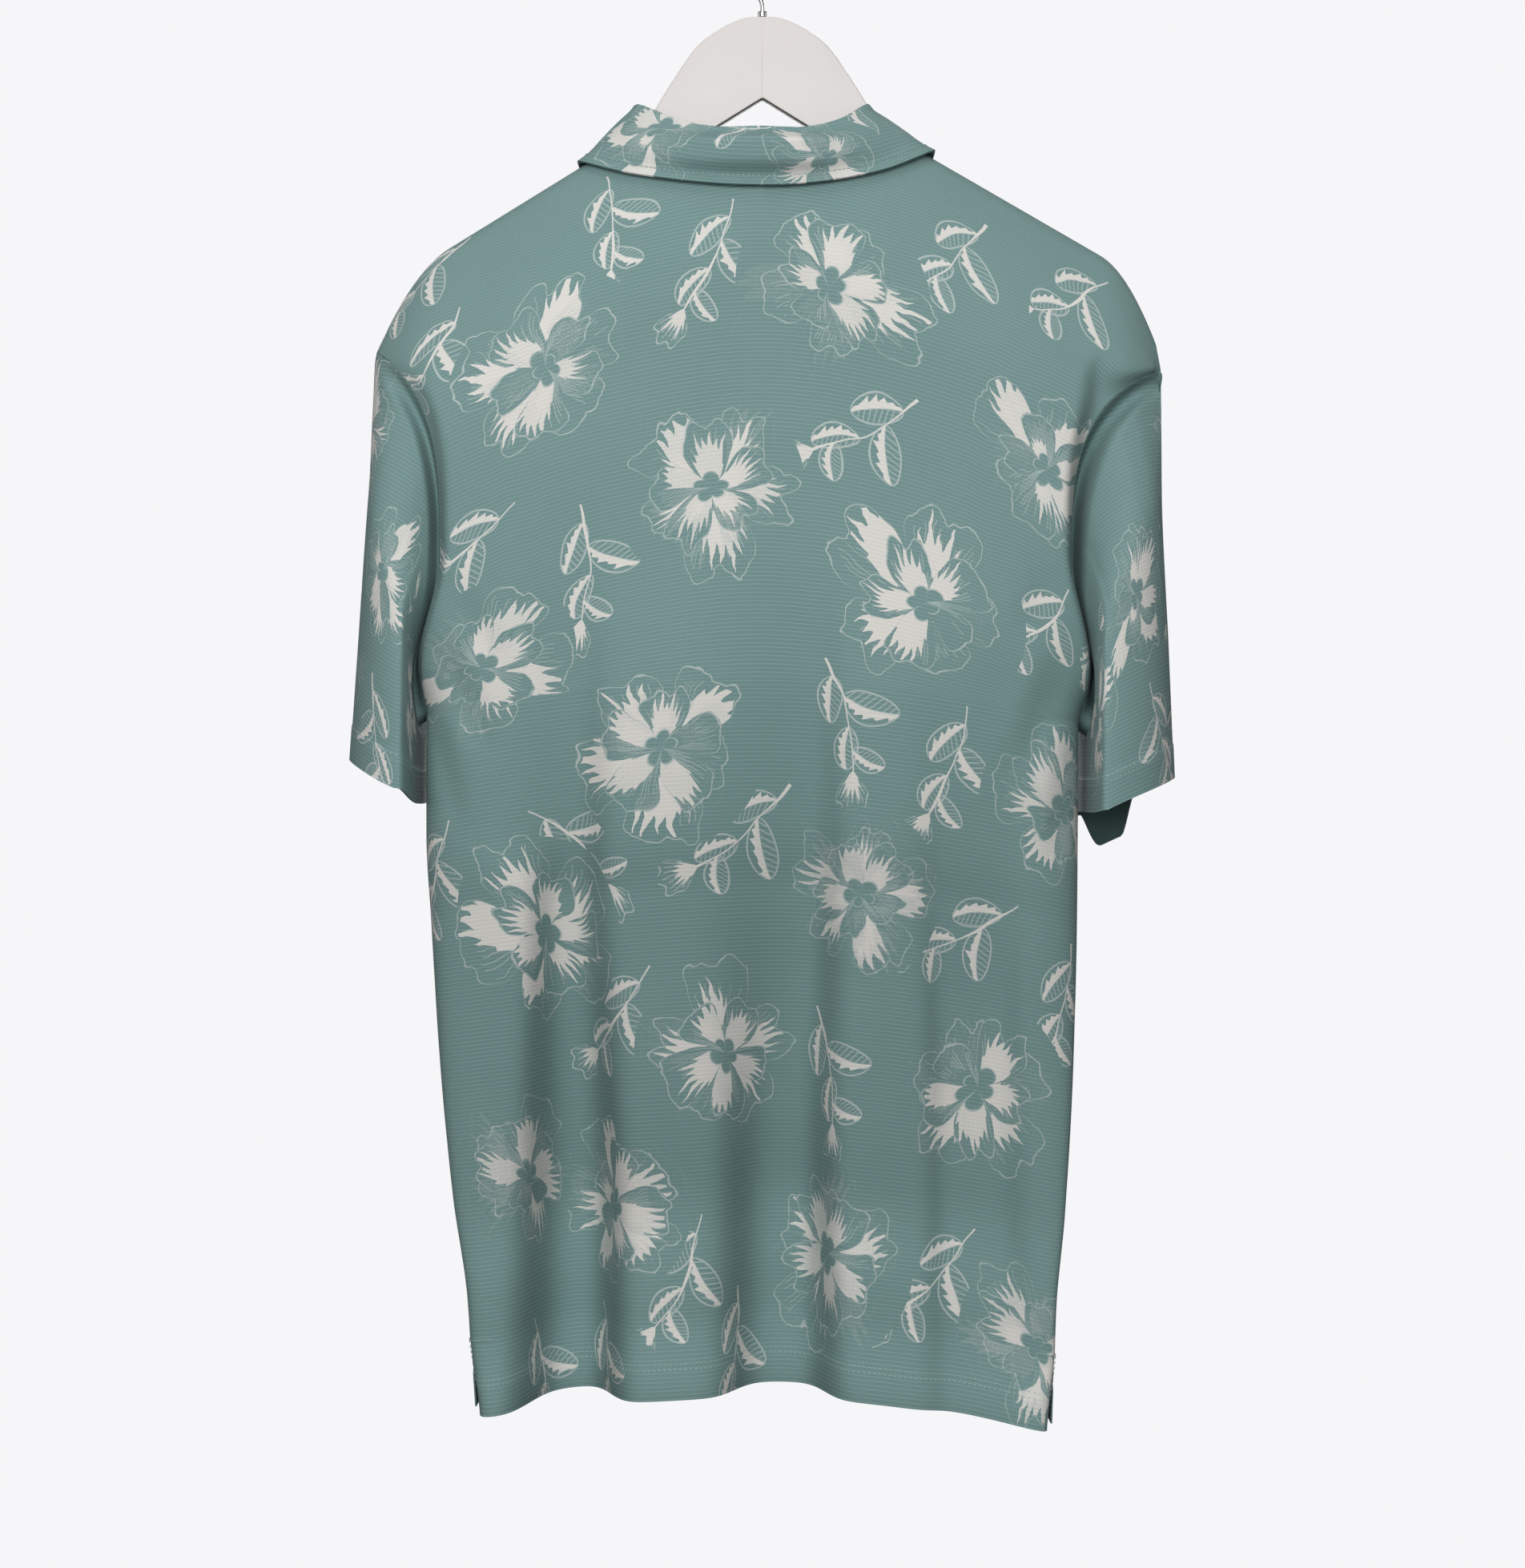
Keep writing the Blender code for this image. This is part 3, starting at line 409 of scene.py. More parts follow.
VALLEYS = {
    # face: a table for each valley of height, left, soft_left, right, soft_right, depth
    1: (
        (
            (330.0, 138.0, 40.0, 98.0, 11.0, 0.0),
            (430.0, 138.0, 40.0, 98.0, 10.0, 9.0),
            (540.0, 136.0, 26.0, 98.0, 10.0, 22.0),
            (590.0, 132.0, 9.0, 98.0, 10.0, 29.0),
            (680.0, 134.0, 10.0, 95.0, 10.0, 42.0),
            (780.0, 137.0, 10.5, 92.0, 10.0, 54.0),
            (892.0, 140.0, 11.0, 91.0, 10.5, 66.0),
        ),
        (
            (320.0, 15.0, 40.0, -39.0, 11.0, 0.0),
            (430.0, 14.0, 38.0, -40.0, 10.0, 9.0),
            (540.0, 13.0, 34.0, -41.0, 10.0, 22.0),
            (640.0, 13.0, 24.0, -40.0, 9.0, 32.0),
            (720.0, 14.0, 16.0, -37.0, 9.5, 40.0),
            (800.0, 15.0, 12.5, -37.5, 8.5, 48.0),
            (892.0, 17.0, 12.0, -38.0, 9.5, 51.0),
        ),
        (
            (420.0, -96.0, 12.0, -156.0, 30.0, 0.0),
            (560.0, -96.0, 9.0, -152.0, 12.0, 8.0),
            (650.0, -100.0, 8.0, -150.0, 8.0, 14.0),
            (780.0, -103.0, 8.5, -152.0, 9.0, 15.0),
            (892.0, -102.0, 10.0, -160.0, 30.0, 14.0),
        ),
    ),
    -1: (
        (
            (350.0, 84.0, 40.0, 40.0, 14.0, 0.0),
            (480.0, 84.0, 34.0, 38.0, 13.0, 8.0),
            (600.0, 80.0, 18.0, 36.0, 12.0, 20.0),
            (700.0, 78.0, 15.0, 36.0, 14.0, 30.0),
            (800.0, 76.0, 15.0, 34.0, 15.0, 38.0),
            (892.0, 76.0, 16.0, 32.0, 16.0, 44.0),
        ),
        (
            (380.0, -52.0, 14.0, -108.0, 40.0, 0.0),
            (520.0, -53.0, 12.0, -108.0, 34.0, 9.0),
            (640.0, -55.0, 13.0, -107.0, 16.0, 20.0),
            (760.0, -56.0, 14.0, -108.0, 14.0, 30.0),
            (892.0, -58.0, 15.0, -110.0, 15.0, 38.0),
        ),
        (
            (560.0, 150.0, 12.0, 124.0, 12.0, 0.0),
            (720.0, 152.0, 10.0, 122.0, 10.0, 7.0),
            (892.0, 156.0, 12.0, 120.0, 12.0, 11.0),
        ),
    ),
}
CREASES = {
    # face: rows of across, low, across_end, low_end, depth, width
    1: (
        (186.0, 402.0, 150.0, 470.0, -1.6, 9.0),
        (190.0, 440.0, 158.0, 520.0, -2.2, 8.0),
        (196.0, 482.0, 176.0, 566.0, -1.8, 7.0),
        (-176.0, 396.0, -146.0, 452.0, -1.4, 8.0),
        (-180.0, 446.0, -150.0, 530.0, -2.4, 9.0),
        (-186.0, 492.0, -170.0, 590.0, -1.8, 7.0),
        (150.0, 214.0, 204.0, 300.0, -1.5, 13.0),
        (-160.0, 220.0, -206.0, 308.0, -1.5, 12.0),
    ),
    -1: (
        (184.0, 410.0, 146.0, 476.0, -1.8, 9.0),
        (192.0, 452.0, 160.0, 540.0, -2.2, 8.0),
        (-176.0, 404.0, -140.0, 470.0, -1.8, 9.0),
        (-182.0, 456.0, -154.0, 548.0, -2.4, 9.0),
        (70.0, 250.0, 118.0, 340.0, -1.4, 12.0),
        (-64.0, 256.0, -122.0, 352.0, -1.6, 13.0),
    ),
}
GROOVE = {
    # side: rows of low, depth, panel_reach, sleeve_reach
    1: (
        (272.0, 0.0, 3.5, 9.0),
        (300.0, 10.0, 3.5, 9.0),
        (380.0, 17.0, 3.5, 9.0),
        (488.0, 14.0, 4.0, 9.0),
    ),
    -1: (
        (272.0, 0.0, 3.5, 9.0),
        (300.0, 14.0, 3.5, 11.0),
        (380.0, 26.0, 3.5, 14.0),
        (497.0, 20.0, 4.5, 14.0),
    ),
}
GROOVE_OUT = 4.0
GROOVE_LIP = 3.2
GROOVE_END = 492.0
GROOVE_FADE = 30.0
DIP_MOST = 0.9
VENT_SWING = 6.0
VENT_DRAW = 5.0
NECK_COLUMNS = 34
SHOULDER_COLUMNS = 54
CREST_ROWS = (0.0, 0.7, 1.7, 3.0, 4.8, 7.0, 10.0, 14.0, 19.0)
ARM_ROWS = 74
BODY_ROWS = 148
SECTION_STEPS = 220
BACK_CUT = (0.49, 0.775)
BACK_CUT_AREA = 0.340
FRONT_CUT = (0.49, 0.775)
FRONT_CUT_AREA = 0.330

BLOOMS = {
    # face: rows of across, down, size, turn_deg
    1: (
        (-42, -232, 58, 20),
        (128, -262, 60, 200),
        (-170, -300, 52, 75),
        (30, -352, 55, 300),
        (-96, -408, 61, 140),
        (168, -432, 57, 15),
        (58, -505, 60, 235),
        (-190, -520, 56, 330),
        (-66, -590, 52, 60),
        (150, -610, 61, 110),
        (30, -690, 56, 340),
        (-150, -700, 60, 190),
        (118, -780, 55, 40),
        (-58, -812, 60, 270),
        (205, -755, 50, 160),
        (-198, -846, 50, 95),
    ),
    -1: (
        (96, -240, 56, 120),
        (-118, -262, 60, 20),
        (176, -345, 54, 260),
        (42, -392, 58, 320),
        (-90, -430, 56, 170),
        (-186, -372, 50, 80),
        (140, -500, 61, 45),
        (-6, -540, 57, 215),
        (-160, -570, 60, 300),
        (90, -640, 55, 10),
        (-70, -680, 60, 130),
        (186, -690, 52, 240),
        (20, -780, 58, 75),
        (-150, -790, 57, 350),
        (132, -842, 54, 180),
    ),
}
SPRIGS = {
    # face: rows of across, down, size, turn_deg
    1: (
        (206, -167, 68, 313),
        (82, -179, 71, 249),
        (-192, -190, 72, 299),
        (-121, -197, 75, 287),
        (23, -221, 72, 279),
        (193, -234, 76, 285),
        (-65, -320, 76, 308),
        (178, -356, 72, 326),
        (96, -385, 73, 255),
        (-215, -400, 66, 291),
        (-171, -402, 72, 290),
        (-59, -485, 72, 239),
        (-123, -510, 71, 269),
        (112, -554, 72, 209),
        (7, -563, 77, 305),
        (211, -571, 76, 292),
        (-138, -613, 72, 311),
        (-209, -639, 73, 263),
        (92, -669, 75, 299),
        (-59, -695, 76, 236),
        (-139, -823, 77, 297),
        (63, -826, 74, 281),
        (21, -872, 76, 266),
        (132, -877, 73, 247),
        (194, -879, 71, 244),
    ),
    -1: (
        (-99, -165, 76, 204),
        (-198, -166, 68, 215),
        (123, -168, 71, 333),
        (-39, -177, 68, 225),
        (24, -180, 76, 247),
        (200, -219, 72, 251),
        (-189, -254, 77, 282),
        (-26, -285, 76, 293),
        (101, -352, 73, 280),
        (-34, -398, 76, 301),
        (209, -446, 71, 289),
        (-195, -476, 77, 236),
        (60, -524, 74, 277),
        (-87, -529, 71, 299),
        (205, -577, 75, 253),
        (-141, -670, 77, 249),
        (-194, -677, 75, 257),
        (0, -694, 71, 236),
        (128, -733, 76, 329),
        (211, -767, 60, 240),
        (-43, -827, 71, 287),
        (-215, -868, 75, 279),
        (206, -870, 71, 270),
        (38, -874, 76, 245),
        (-98, -880, 77, 248),
    ),
}


def ease(x):
    """0 to 1 with level ends."""
    x = np.clip(x, 0.0, 1.0)
    return x * x * (3.0 - 2.0 * x)


def column(table, index):
    return np.array([row[index] for row in table], float)


def smooth_through(positions, values, at):
    """A cubic through a table's values that never swings past them."""
    positions = np.asarray(positions, float)
    values = np.asarray(values, float)
    rates = np.diff(values) / np.diff(positions)
    before, after = rates[:-1], rates[1:]
    same_way = before * after > 0
    middle = np.where(same_way, 2 * before * after / np.where(same_way, before + after, 1.0), 0.0)
    slopes = np.concatenate([[rates[0]], middle, [rates[-1]]])
    i = np.clip(np.searchsorted(positions, at) - 1, 0, len(positions) - 2)
    span = positions[i + 1] - positions[i]
    t = np.clip((at - positions[i]) / span, 0.0, 1.0)
    rise = values[i + 1] - values[i]
    return (
        values[i]
        + t * rise
        + t * (1 - t) * ((1 - t) * (slopes[i] * span - rise) - t * (slopes[i + 1] * span - rise))
    )


def crest_low(x):
    """How far below the hook the shoulder crest runs, over the line x."""
    slope = np.where(np.asarray(x) >= 0, CREST_SLOPE[1], CREST_SLOPE[-1])
    low = CREST_TOP + slope * (np.abs(x) - NECK_HALF)
    for side in (1, -1):
        over = np.clip(side * np.asarray(x) - BEND_START[side], 0.0, None)
        low = low + BEND_DROP[side] * (over / (SHOULDER_HALF[side] - BEND_START[side])) ** 2
    return low


def crest_share(x, low):
    """How much of its full depth the cloth has reached, at a height below the shoulder crest."""
    below = np.clip(low - crest_low(x), 0.0, None)
    near = np.clip(below / CREST_RADIUS, 0.0, 1.0)
    far = np.clip(below / CREST_REACH, 0.0, 1.0)
    round_part = CREST_RADIUS * np.sqrt(1.0 - (1.0 - near) ** 2)
    return (round_part + (CREST_DEPTH - CREST_RADIUS) * far * (2.0 - far)) / CREST_DEPTH


def droop(x, height):
    """How far the cloth at x hangs below the same course of the knit on the centre line."""
    share = ease((height - UNDERARM) / (HEM - UNDERARM))
    left = np.asarray(x) >= 0
    chest = np.where(left, DROOP[1][0], DROOP[-1][0])
    hem = np.where(left, DROOP[1][1], DROOP[-1][1])
    return (chest + (hem - chest) * share) * (np.abs(x) / DROOP_HALF) ** DROOP_POWER


@functools.cache
def valley_row(face, number, height):
    table = VALLEYS[face][number]
    return [float(smooth_through(column(table, 0), column(table, i), height)) for i in range(1, 6)]


def fold_depth(face, x, height):
    """How far the hanging folds take the cloth in, at x on one face of the body."""
    total = np.zeros_like(x)
    for number in range(len(VALLEYS[face])):
        left, soft_left, right, soft_right, depth = valley_row(face, number, height)
        walls = (1.0 + np.tanh((left - x) / soft_left)) * (1.0 + np.tanh((x - right) / soft_right))
        total = total - depth * walls / 4.0
    return total


def crease_depth(face, x, low):
    """Soft troughs that run from one place on the cloth to another and fade at both ends."""
    total = np.zeros_like(x)
    for x0, low0, x1, low1, depth, width in CREASES[face]:
        run = math.hypot(x1 - x0, low1 - low0)
        along = ((x - x0) * (x1 - x0) + (low - low0) * (low1 - low0)) / run / run
        aside = ((x - x0) * (low1 - low0) - (low - low0) * (x1 - x0)) / run
        fade = np.clip(4.0 * along * (1.0 - along), 0.0, 1.0) ** 1.5
        trough = np.exp(-((aside / width) ** 2)) - 0.45 * np.exp(-(((aside - 1.9 * width) / width) ** 2))
        total = total + depth * fade * trough
    return total


def groove_at(side, low, distance):
    """How far the cloth dips along the armhole seam; distance is outward from it, on the sleeve."""
    table = GROOVE[side]
    depth, panel_reach, sleeve_reach = (
        smooth_through(column(table, 0), column(table, i), low) for i in (1, 2, 3)
    )
    at_seam = np.exp(-((GROOVE_OUT / sleeve_reach) ** 4))
    on_sleeve = np.exp(-(((distance - GROOVE_OUT) / sleeve_reach) ** 4))
    dip = np.where(distance > 0, on_sleeve, at_seam * np.exp(-((distance / panel_reach) ** 2)))
    return depth * dip * ease((GROOVE_END - low) / GROOVE_FADE) * (low > table[0][0])


@functools.cache
def body_row(height, index):
    return float(smooth_through(column(BODY, 0), column(BODY, index), height))


def armhole_share(side, height, half):
    """Where the armhole cuts a section: the share of the section's depth left at its edge."""
    shoulder, across, middle, bottom = ARMHOLE[side]
    top = SHOULDER_END + float(droop(side * ARMHOLE_ACROSS, SHOULDER_END))
    low = max(height + float(droop(side * ARMHOLE_ACROSS, height)), top)
    reach = across + (shoulder - across) * max((middle - low) / (middle - top), 0.0) ** ARMHOLE_TURN
    depth_share = (1.0 - (reach / half) ** SECTION_POWER) ** (1.0 / SECTION_POWER)
    below = np.clip((low - middle) / (bottom - middle), 0.0, 1.0)
    return depth_share * math.sqrt(1.0 - below**2.2)


def half_section(face, side, height, depth):
    """Points (x, y, low) of a quarter of a section, one to a row, from the centre line out."""
    half = body_row(height, 1 if side > 0 else 2)
    seam = body_row(height, 3 if side > 0 else 4)
    turn = math.pi / 2
    if height < UNDERARM:
        depth_share = armhole_share(side, height, half)
        turn = math.atan2((1.0 - depth_share**SECTION_POWER) ** (1.0 / SECTION_POWER), depth_share)
    angle = np.linspace(0.0, turn, SECTION_STEPS)
    reach = (np.sin(angle) ** SECTION_POWER + np.cos(angle) ** SECTION_POWER) ** (-1.0 / SECTION_POWER)
    share_x = reach * np.sin(angle)
    share_y = np.clip(reach * np.cos(angle), 0.0, None)
    swing = ease((height - VENT_TOP) / (HEM - VENT_TOP))
    draw = VENT_DRAW * swing * (face > 0)
    x = side * (half - draw) * share_x
    low = height + droop(x, height)
    outward = depth * share_y * crest_share(x, low)
    outward = outward + fold_depth(face, x, height) * np.clip(share_y * 1.6, 0.0, 1.0)
    outward = outward + VENT_SWING * swing * share_x**6 + SEAM_GAP / 2
    return np.stack([x, seam * share_x**3 + face * outward, low], axis=1)


def run_along(line):
    """How far along a line each of its points is."""
    return np.concatenate([[0.0], np.cumsum(np.linalg.norm(np.diff(line, axis=0), axis=1))])


def read_at(at, places, points):
    """The points of a line, read off between the given places on it."""
    return np.stack([np.interp(at, places, axis) for axis in points.T], axis=-1)


@functools.cache
def section_depth(face, height):
    """The depth at which the section's own length is that of the cloth cut for it."""
    if height < UNDERARM:
        share = ease((height - SHOULDER_END) / (UNDERARM - SHOULDER_END))
        return CREST_DEPTH + (section_depth(face, UNDERARM) - CREST_DEPTH) * share
    cloth = body_row(height, 5)
    shallow, deep = 5.0, 140.0
    for _ in range(20):
        depth = (shallow + deep) / 2
        length = sum(run_along(half_section(face, side, height, depth))[-1] for side in (1, -1))
        if length < cloth:
            shallow = depth
        else:
            deep = depth
    return depth


def section(face, height, shares):
    """The section's points at shares of its cloth, and how far each is from the centre line."""
    points = np.zeros((len(shares), 3))
    away = np.zeros(len(shares))
    for side in (1, -1):
        ours = side * shares >= 0
        line = half_section(face, side, height, section_depth(face, height))
        length = run_along(line)
        at = np.abs(shares[ours]) * length[-1]
        points[ours] = read_at(at, length, line)
        away[ours] = side * at
    return points, away


def neck_low(face, x):
    share = np.abs(x) / NECK_HALF
    lowest, power = (NECK_BACK, 2.5) if face > 0 else (NECK_FRONT, 2.2)
    return lowest - (lowest - CREST_TOP) * share**power


def upper_y(face, x, low):
    half = np.where(np.asarray(x) >= 0, body_row(SHOULDER_END, 1), body_row(SHOULDER_END, 2))
    share = (1.0 - (np.abs(x) / half) ** SECTION_POWER) ** (1.0 / SECTION_POWER)
    return face * (CREST_DEPTH * share * crest_share(x, low) + SEAM_GAP / 2)


def panel_shares(face):
    shares = []
    for side in (-1, 1):
        line = half_section(face, side, SHOULDER_END, section_depth(face, SHOULDER_END))
        length = run_along(line)
        neck = np.interp(NECK_HALF, np.abs(line[:, 0]), length) / length[-1]
        inner = np.linspace(0.0, neck, NECK_COLUMNS + 1)
        outer = np.linspace(neck, 1.0, SHOULDER_COLUMNS + 1)[1:]
        shares.append(side * np.concatenate([inner, outer]))
    return np.concatenate([shares[0][::-1], shares[1][1:]])


def panel_grid(face):
    """A panel's outer points by row and column, and their places on the flat cloth."""
    shares = panel_shares(face)
    grid_heights = np.linspace(SHOULDER_END, UNDERARM, 96)
    above = [section(face, height, shares) for height in grid_heights]
    above_points = np.array([points for points, _ in above])
    above_away = np.array([away for _, away in above])
    x_top = above_points[0, :, 0]
    neck = np.abs(x_top) < NECK_HALF - 0.5
    top = np.where(neck, neck_low(face, x_top), crest_low(x_top)) - droop(x_top, SHOULDER_END)
    steps = np.linspace(0.0, 1.0, ARM_ROWS + 1)[1:, None]
    last = CREST_ROWS[-1]
    heights = np.concatenate(
        [top[None] + np.array(CREST_ROWS)[:, None], top + last + (UNDERARM - top - last) * steps]
    )
    points = np.zeros((*heights.shape, 3))
    away = np.zeros(heights.shape)
    for col, x in enumerate(x_top):
        points[:, col] = read_at(heights[:, col], grid_heights, above_points[:, col])
        away[:, col] = np.interp(heights[:, col], grid_heights, above_away[:, col])
        upper = heights[:, col] < SHOULDER_END
        low = heights[upper, col] + droop(x, SHOULDER_END)
        points[upper, col, 0] = x
        points[upper, col, 1] = upper_y(face, x, low)
        points[upper, col, 2] = low
    below_heights = np.linspace(UNDERARM, HEM, BODY_ROWS + 1)[1:]
    below = [section(face, height, shares) for height in below_heights]
    points = np.concatenate([points, [rows for rows, _ in below]])
    away = np.concatenate([away, [rows for _, rows in below]])
    heights = np.concatenate([heights, np.repeat(below_heights[:, None], len(shares), axis=1)])
    points[..., 1] += face * crease_depth(face, points[..., 0], points[..., 2])
    arm_rows = len(heights) - BODY_ROWS
    for side, edge in ((1, -1), (-1, 0)):
        lows = points[:arm_rows, :, 2]
        distance = np.abs(away[:arm_rows, edge : edge + 1 or None] - away[:arm_rows])
        dip = groove_at(side, lows, -distance)
        points[:arm_rows, :, 1] -= face * np.minimum(dip, np.abs(points[:arm_rows, :, 1]) * DIP_MOST)
    points[..., 2] *= -1
    lengths = np.sqrt((np.diff(points, axis=0) ** 2).sum(axis=2))
    under = len(heights) - BODY_ROWS - 1
    climb = np.cumsum(lengths[:under][::-1], axis=0)[::-1]
    down = -heights
    down[:under] = -UNDERARM + climb
    return points, np.stack([away, down], axis=2)


def grid_normals(points, closed=False):
    """Normals of a grid of points; columns run round or across and rows run down."""
    if closed:
        across = np.roll(points, -1, 1) - np.roll(points, 1, 1)
    else:
        across = np.gradient(points, axis=1)
    normal = np.cross(across, np.gradient(points, axis=0))
    return normal / np.maximum(np.linalg.norm(normal, axis=2, keepdims=True), 1e-9)


def motif_frames(places, motifs):
    """Each face's corners in the frame of the motif nearest to it, and that motif's number."""
    table = np.array(motifs, float)
    centres = places.mean(axis=1)
    gaps = np.linalg.norm(centres[:, None] - table[None, :, :2], axis=2) / table[None, :, 2]
    nearest = gaps.argmin(axis=1)
    chosen = table[nearest]
    turn = np.radians(chosen[:, 3])[:, None]
    offset = (places - chosen[:, None, :2]) / chosen[:, None, 2:3]
    local = np.stack(
        [
            offset[..., 0] * np.cos(turn) + offset[..., 1] * np.sin(turn),
            offset[..., 1] * np.cos(turn) - offset[..., 0] * np.sin(turn),
        ],
        axis=2,
    )
    return local, nearest


def sprig_frames(places, motifs):
    """Like motif_frames, for motifs placed by the middle of a stem that starts at its own origin."""
    local, nearest = motif_frames(places, motifs)
    return local + np.array([0.55, 0.0]), nearest


def quads_of(index):
    """Face, reverse and rim quads of a two-sided grid, from its two sides' corner numbers."""
    outer, inner = index
    a, b, c, d = outer[:-1, :-1], outer[1:, :-1], outer[1:, 1:], outer[:-1, 1:]
    face_quads = np.stack([a, b, c, d], axis=2).reshape(-1, 4)
    a, b, c, d = inner[:-1, :-1], inner[1:, :-1], inner[1:, 1:], inner[:-1, 1:]
    back_quads = np.stack([d, c, b, a], axis=2).reshape(-1, 4)
    rims = []
    for line in (np.s_[0], np.s_[-1, ::-1], np.s_[::-1, 0], np.s_[:, -1]):
        near, far = outer[line], inner[line]
        rims.append(np.stack([near[:-1], near[1:], far[1:], far[:-1]], axis=1))
    return face_quads, back_quads, np.concatenate(rims[:2]), np.concatenate(rims[2:])


def cloth_mesh(name, outer, normals, places, thick, blooms, sprigs, closed=False, flip=False):
    """One closed wall of cloth: printed face, plain reverse in painted shade, and cut edges."""
    rows, columns = outer.shape[:2]
    grid = np.arange(rows * columns).reshape(rows, columns)
    if closed:
        grid = np.concatenate([grid, grid[:, :1]], axis=1)
    sides = quads_of((grid, grid + rows * columns))
    sides = sides[:3] if closed else sides
    quads = np.concatenate(sides)
    place_grid = np.arange(places.shape[0] * places.shape[1]).reshape(places.shape[:2])
    place_sides = quads_of((place_grid, place_grid))
    corner = np.concatenate(place_sides[: len(sides)])
    if flip:
        quads, corner = quads[:, ::-1], corner[:, ::-1]
    vertices = np.concatenate([outer, outer - normals * thick]).reshape(-1, 3) * MM
    mesh = bpy.data.meshes.new(name)
    mesh.from_pydata(vertices.tolist(), [], quads.tolist())
    corners = places.reshape(-1, 2)[corner]
    bloom, bloom_number = motif_frames(corners, blooms)
    twig, twig_number = sprig_frames(corners, sprigs)
    seed = np.stack([bloom_number * 1.7 + 1.3, twig_number * 2.3 + 0.7], axis=1)
    seed = np.repeat(seed[:, None], 4, axis=1)
    for layer_name, values in (
        ("cloth", corners * MM), ("bloom", bloom), ("sprig", twig), ("seed", seed)
    ):
        layer = mesh.uv_layers.new(name=layer_name)
        layer.data.foreach_set("uv", np.ascontiguousarray(values, np.float32).ravel())
    mesh.materials.append(printed_knit)
    mesh.materials.append(knit_reverse)
    inside = np.zeros(len(quads), np.int32)
    inside[len(sides[0]) : len(sides[0]) + len(sides[1])] = 1
    mesh.polygons.foreach_set("material_index", inside)
    mesh.polygons.foreach_set("use_smooth", np.ones(len(quads), bool))
    mesh.update()
    made = bpy.data.objects.new(name, mesh)
    bpy.context.collection.objects.link(made)
    mesh.set_sharp_from_angle(angle=math.radians(50))
    return made


def hem_stand(above):
    """The turned-up hem is two cloths thick, so it stands a little proud below its stitching."""
    return HEM_STAND * (1.0 - ease((above - HEM_TURN_UP + 0.8) / 1.6))


panels = {}
for face, name in ((1, "back"), (-1, "front")):
    points, places = panel_grid(face)
    normals = grid_normals(points) * face
    for col, x in enumerate(points[0, :, 0]):
        if abs(x) >= NECK_HALF - 0.5:
            lean = np.array([float(crest_low(x + 1.0) - crest_low(x - 1.0)) / 2, 0.0, 1.0])
            normals[0, col] = lean / np.linalg.norm(lean)
    for col, side in ((0, -1), (-1, 1)):
        normals[points[:, col, 2] < -ARMHOLE[side][-1] + 1.0, col] = (side, 0.0, 0.0)
    panels[face] = points, normals, places
    stand = hem_stand(HEM + places[..., 1])[..., None]
    panel = cloth_mesh(
        name + "_panel", points + normals * stand, normals, places, CLOTH_THICK, BLOOMS[face],
        SPRIGS[face], flip=face > 0,
    )
    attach(panel, "root")
    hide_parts(name)
    cut, cut_area = (BACK_CUT, BACK_CUT_AREA) if face > 0 else (FRONT_CUT, FRONT_CUT_AREA)


# ---------------------------------------------------------------- sleeves
# Each sleeve is one piece set into the armhole, with its seam under the arm. It hangs from the
# end of the shoulder as a flattened tube, open at its hem, close beside the body.
SLEEVES = {
    1: (
        # along, outer, ridge, inner, depth, low_outer, low_back, low_inner, low_front, front_drop
        (0.38, 237.5, 212.0, 206.8, 71.0, 352.0, 428.0, 500.0, 430.0, 0.0),
        (0.70, 243.5, 213.0, 207.2, 75.0, 440.0, 482.0, 526.0, 484.0, 0.0),
        (1.00, 248.5, 213.5, 207.4, 77.0, 512.5, 530.5, 540.0, 526.0, 0.0),
    ),
    -1: (
        (0.38, 241.0, 203.0, 195.0, 71.0, 352.0, 430.0, 502.0, 432.0, 0.0),
        (0.70, 245.0, 202.0, 195.4, 76.0, 444.0, 490.0, 524.0, 492.0, 9.0),
        (1.00, 248.3, 201.0, 195.6, 79.0, 523.5, 543.0, 545.0, 548.0, 27.0),
    ),
}
SLEEVE_LEAVE = 8.0
SLEEVE_LEAVE_AT = 0.09
UNDERARM_LEAVE = (0.8, 0.0, 0.6)
ARC_POWER = 1.35
RIDGE_POWER = 0.75
HEM_POWER = {1: 1.6, -1: 1.2}
SLEEVE_ROWS = 120
SLEEVE_BLOOMS = (
    (8.0, 52.0, 54.0, 30.0),
    (86.0, 120.0, 52.0, 150.0),
    (-84.0, 118.0, 52.0, 260.0),
    (10.0, 196.0, 54.0, 330.0),
    (150.0, 58.0, 50.0, 75.0),
    (-150.0, 52.0, 50.0, 200.0),
)
SLEEVE_SPRIGS = (
    (70.4, 24.4, 63.8, 265.0),
    (-62.4, 28.4, 63.8, 275.0),
    (46.7, 112.1, 58.8, 280.0),
    (-50.0, 120.8, 58.8, 255.0),
    (128.0, 113.7, 55.4, 270.0),
    (-131.2, 113.8, 55.4, 265.0),
)


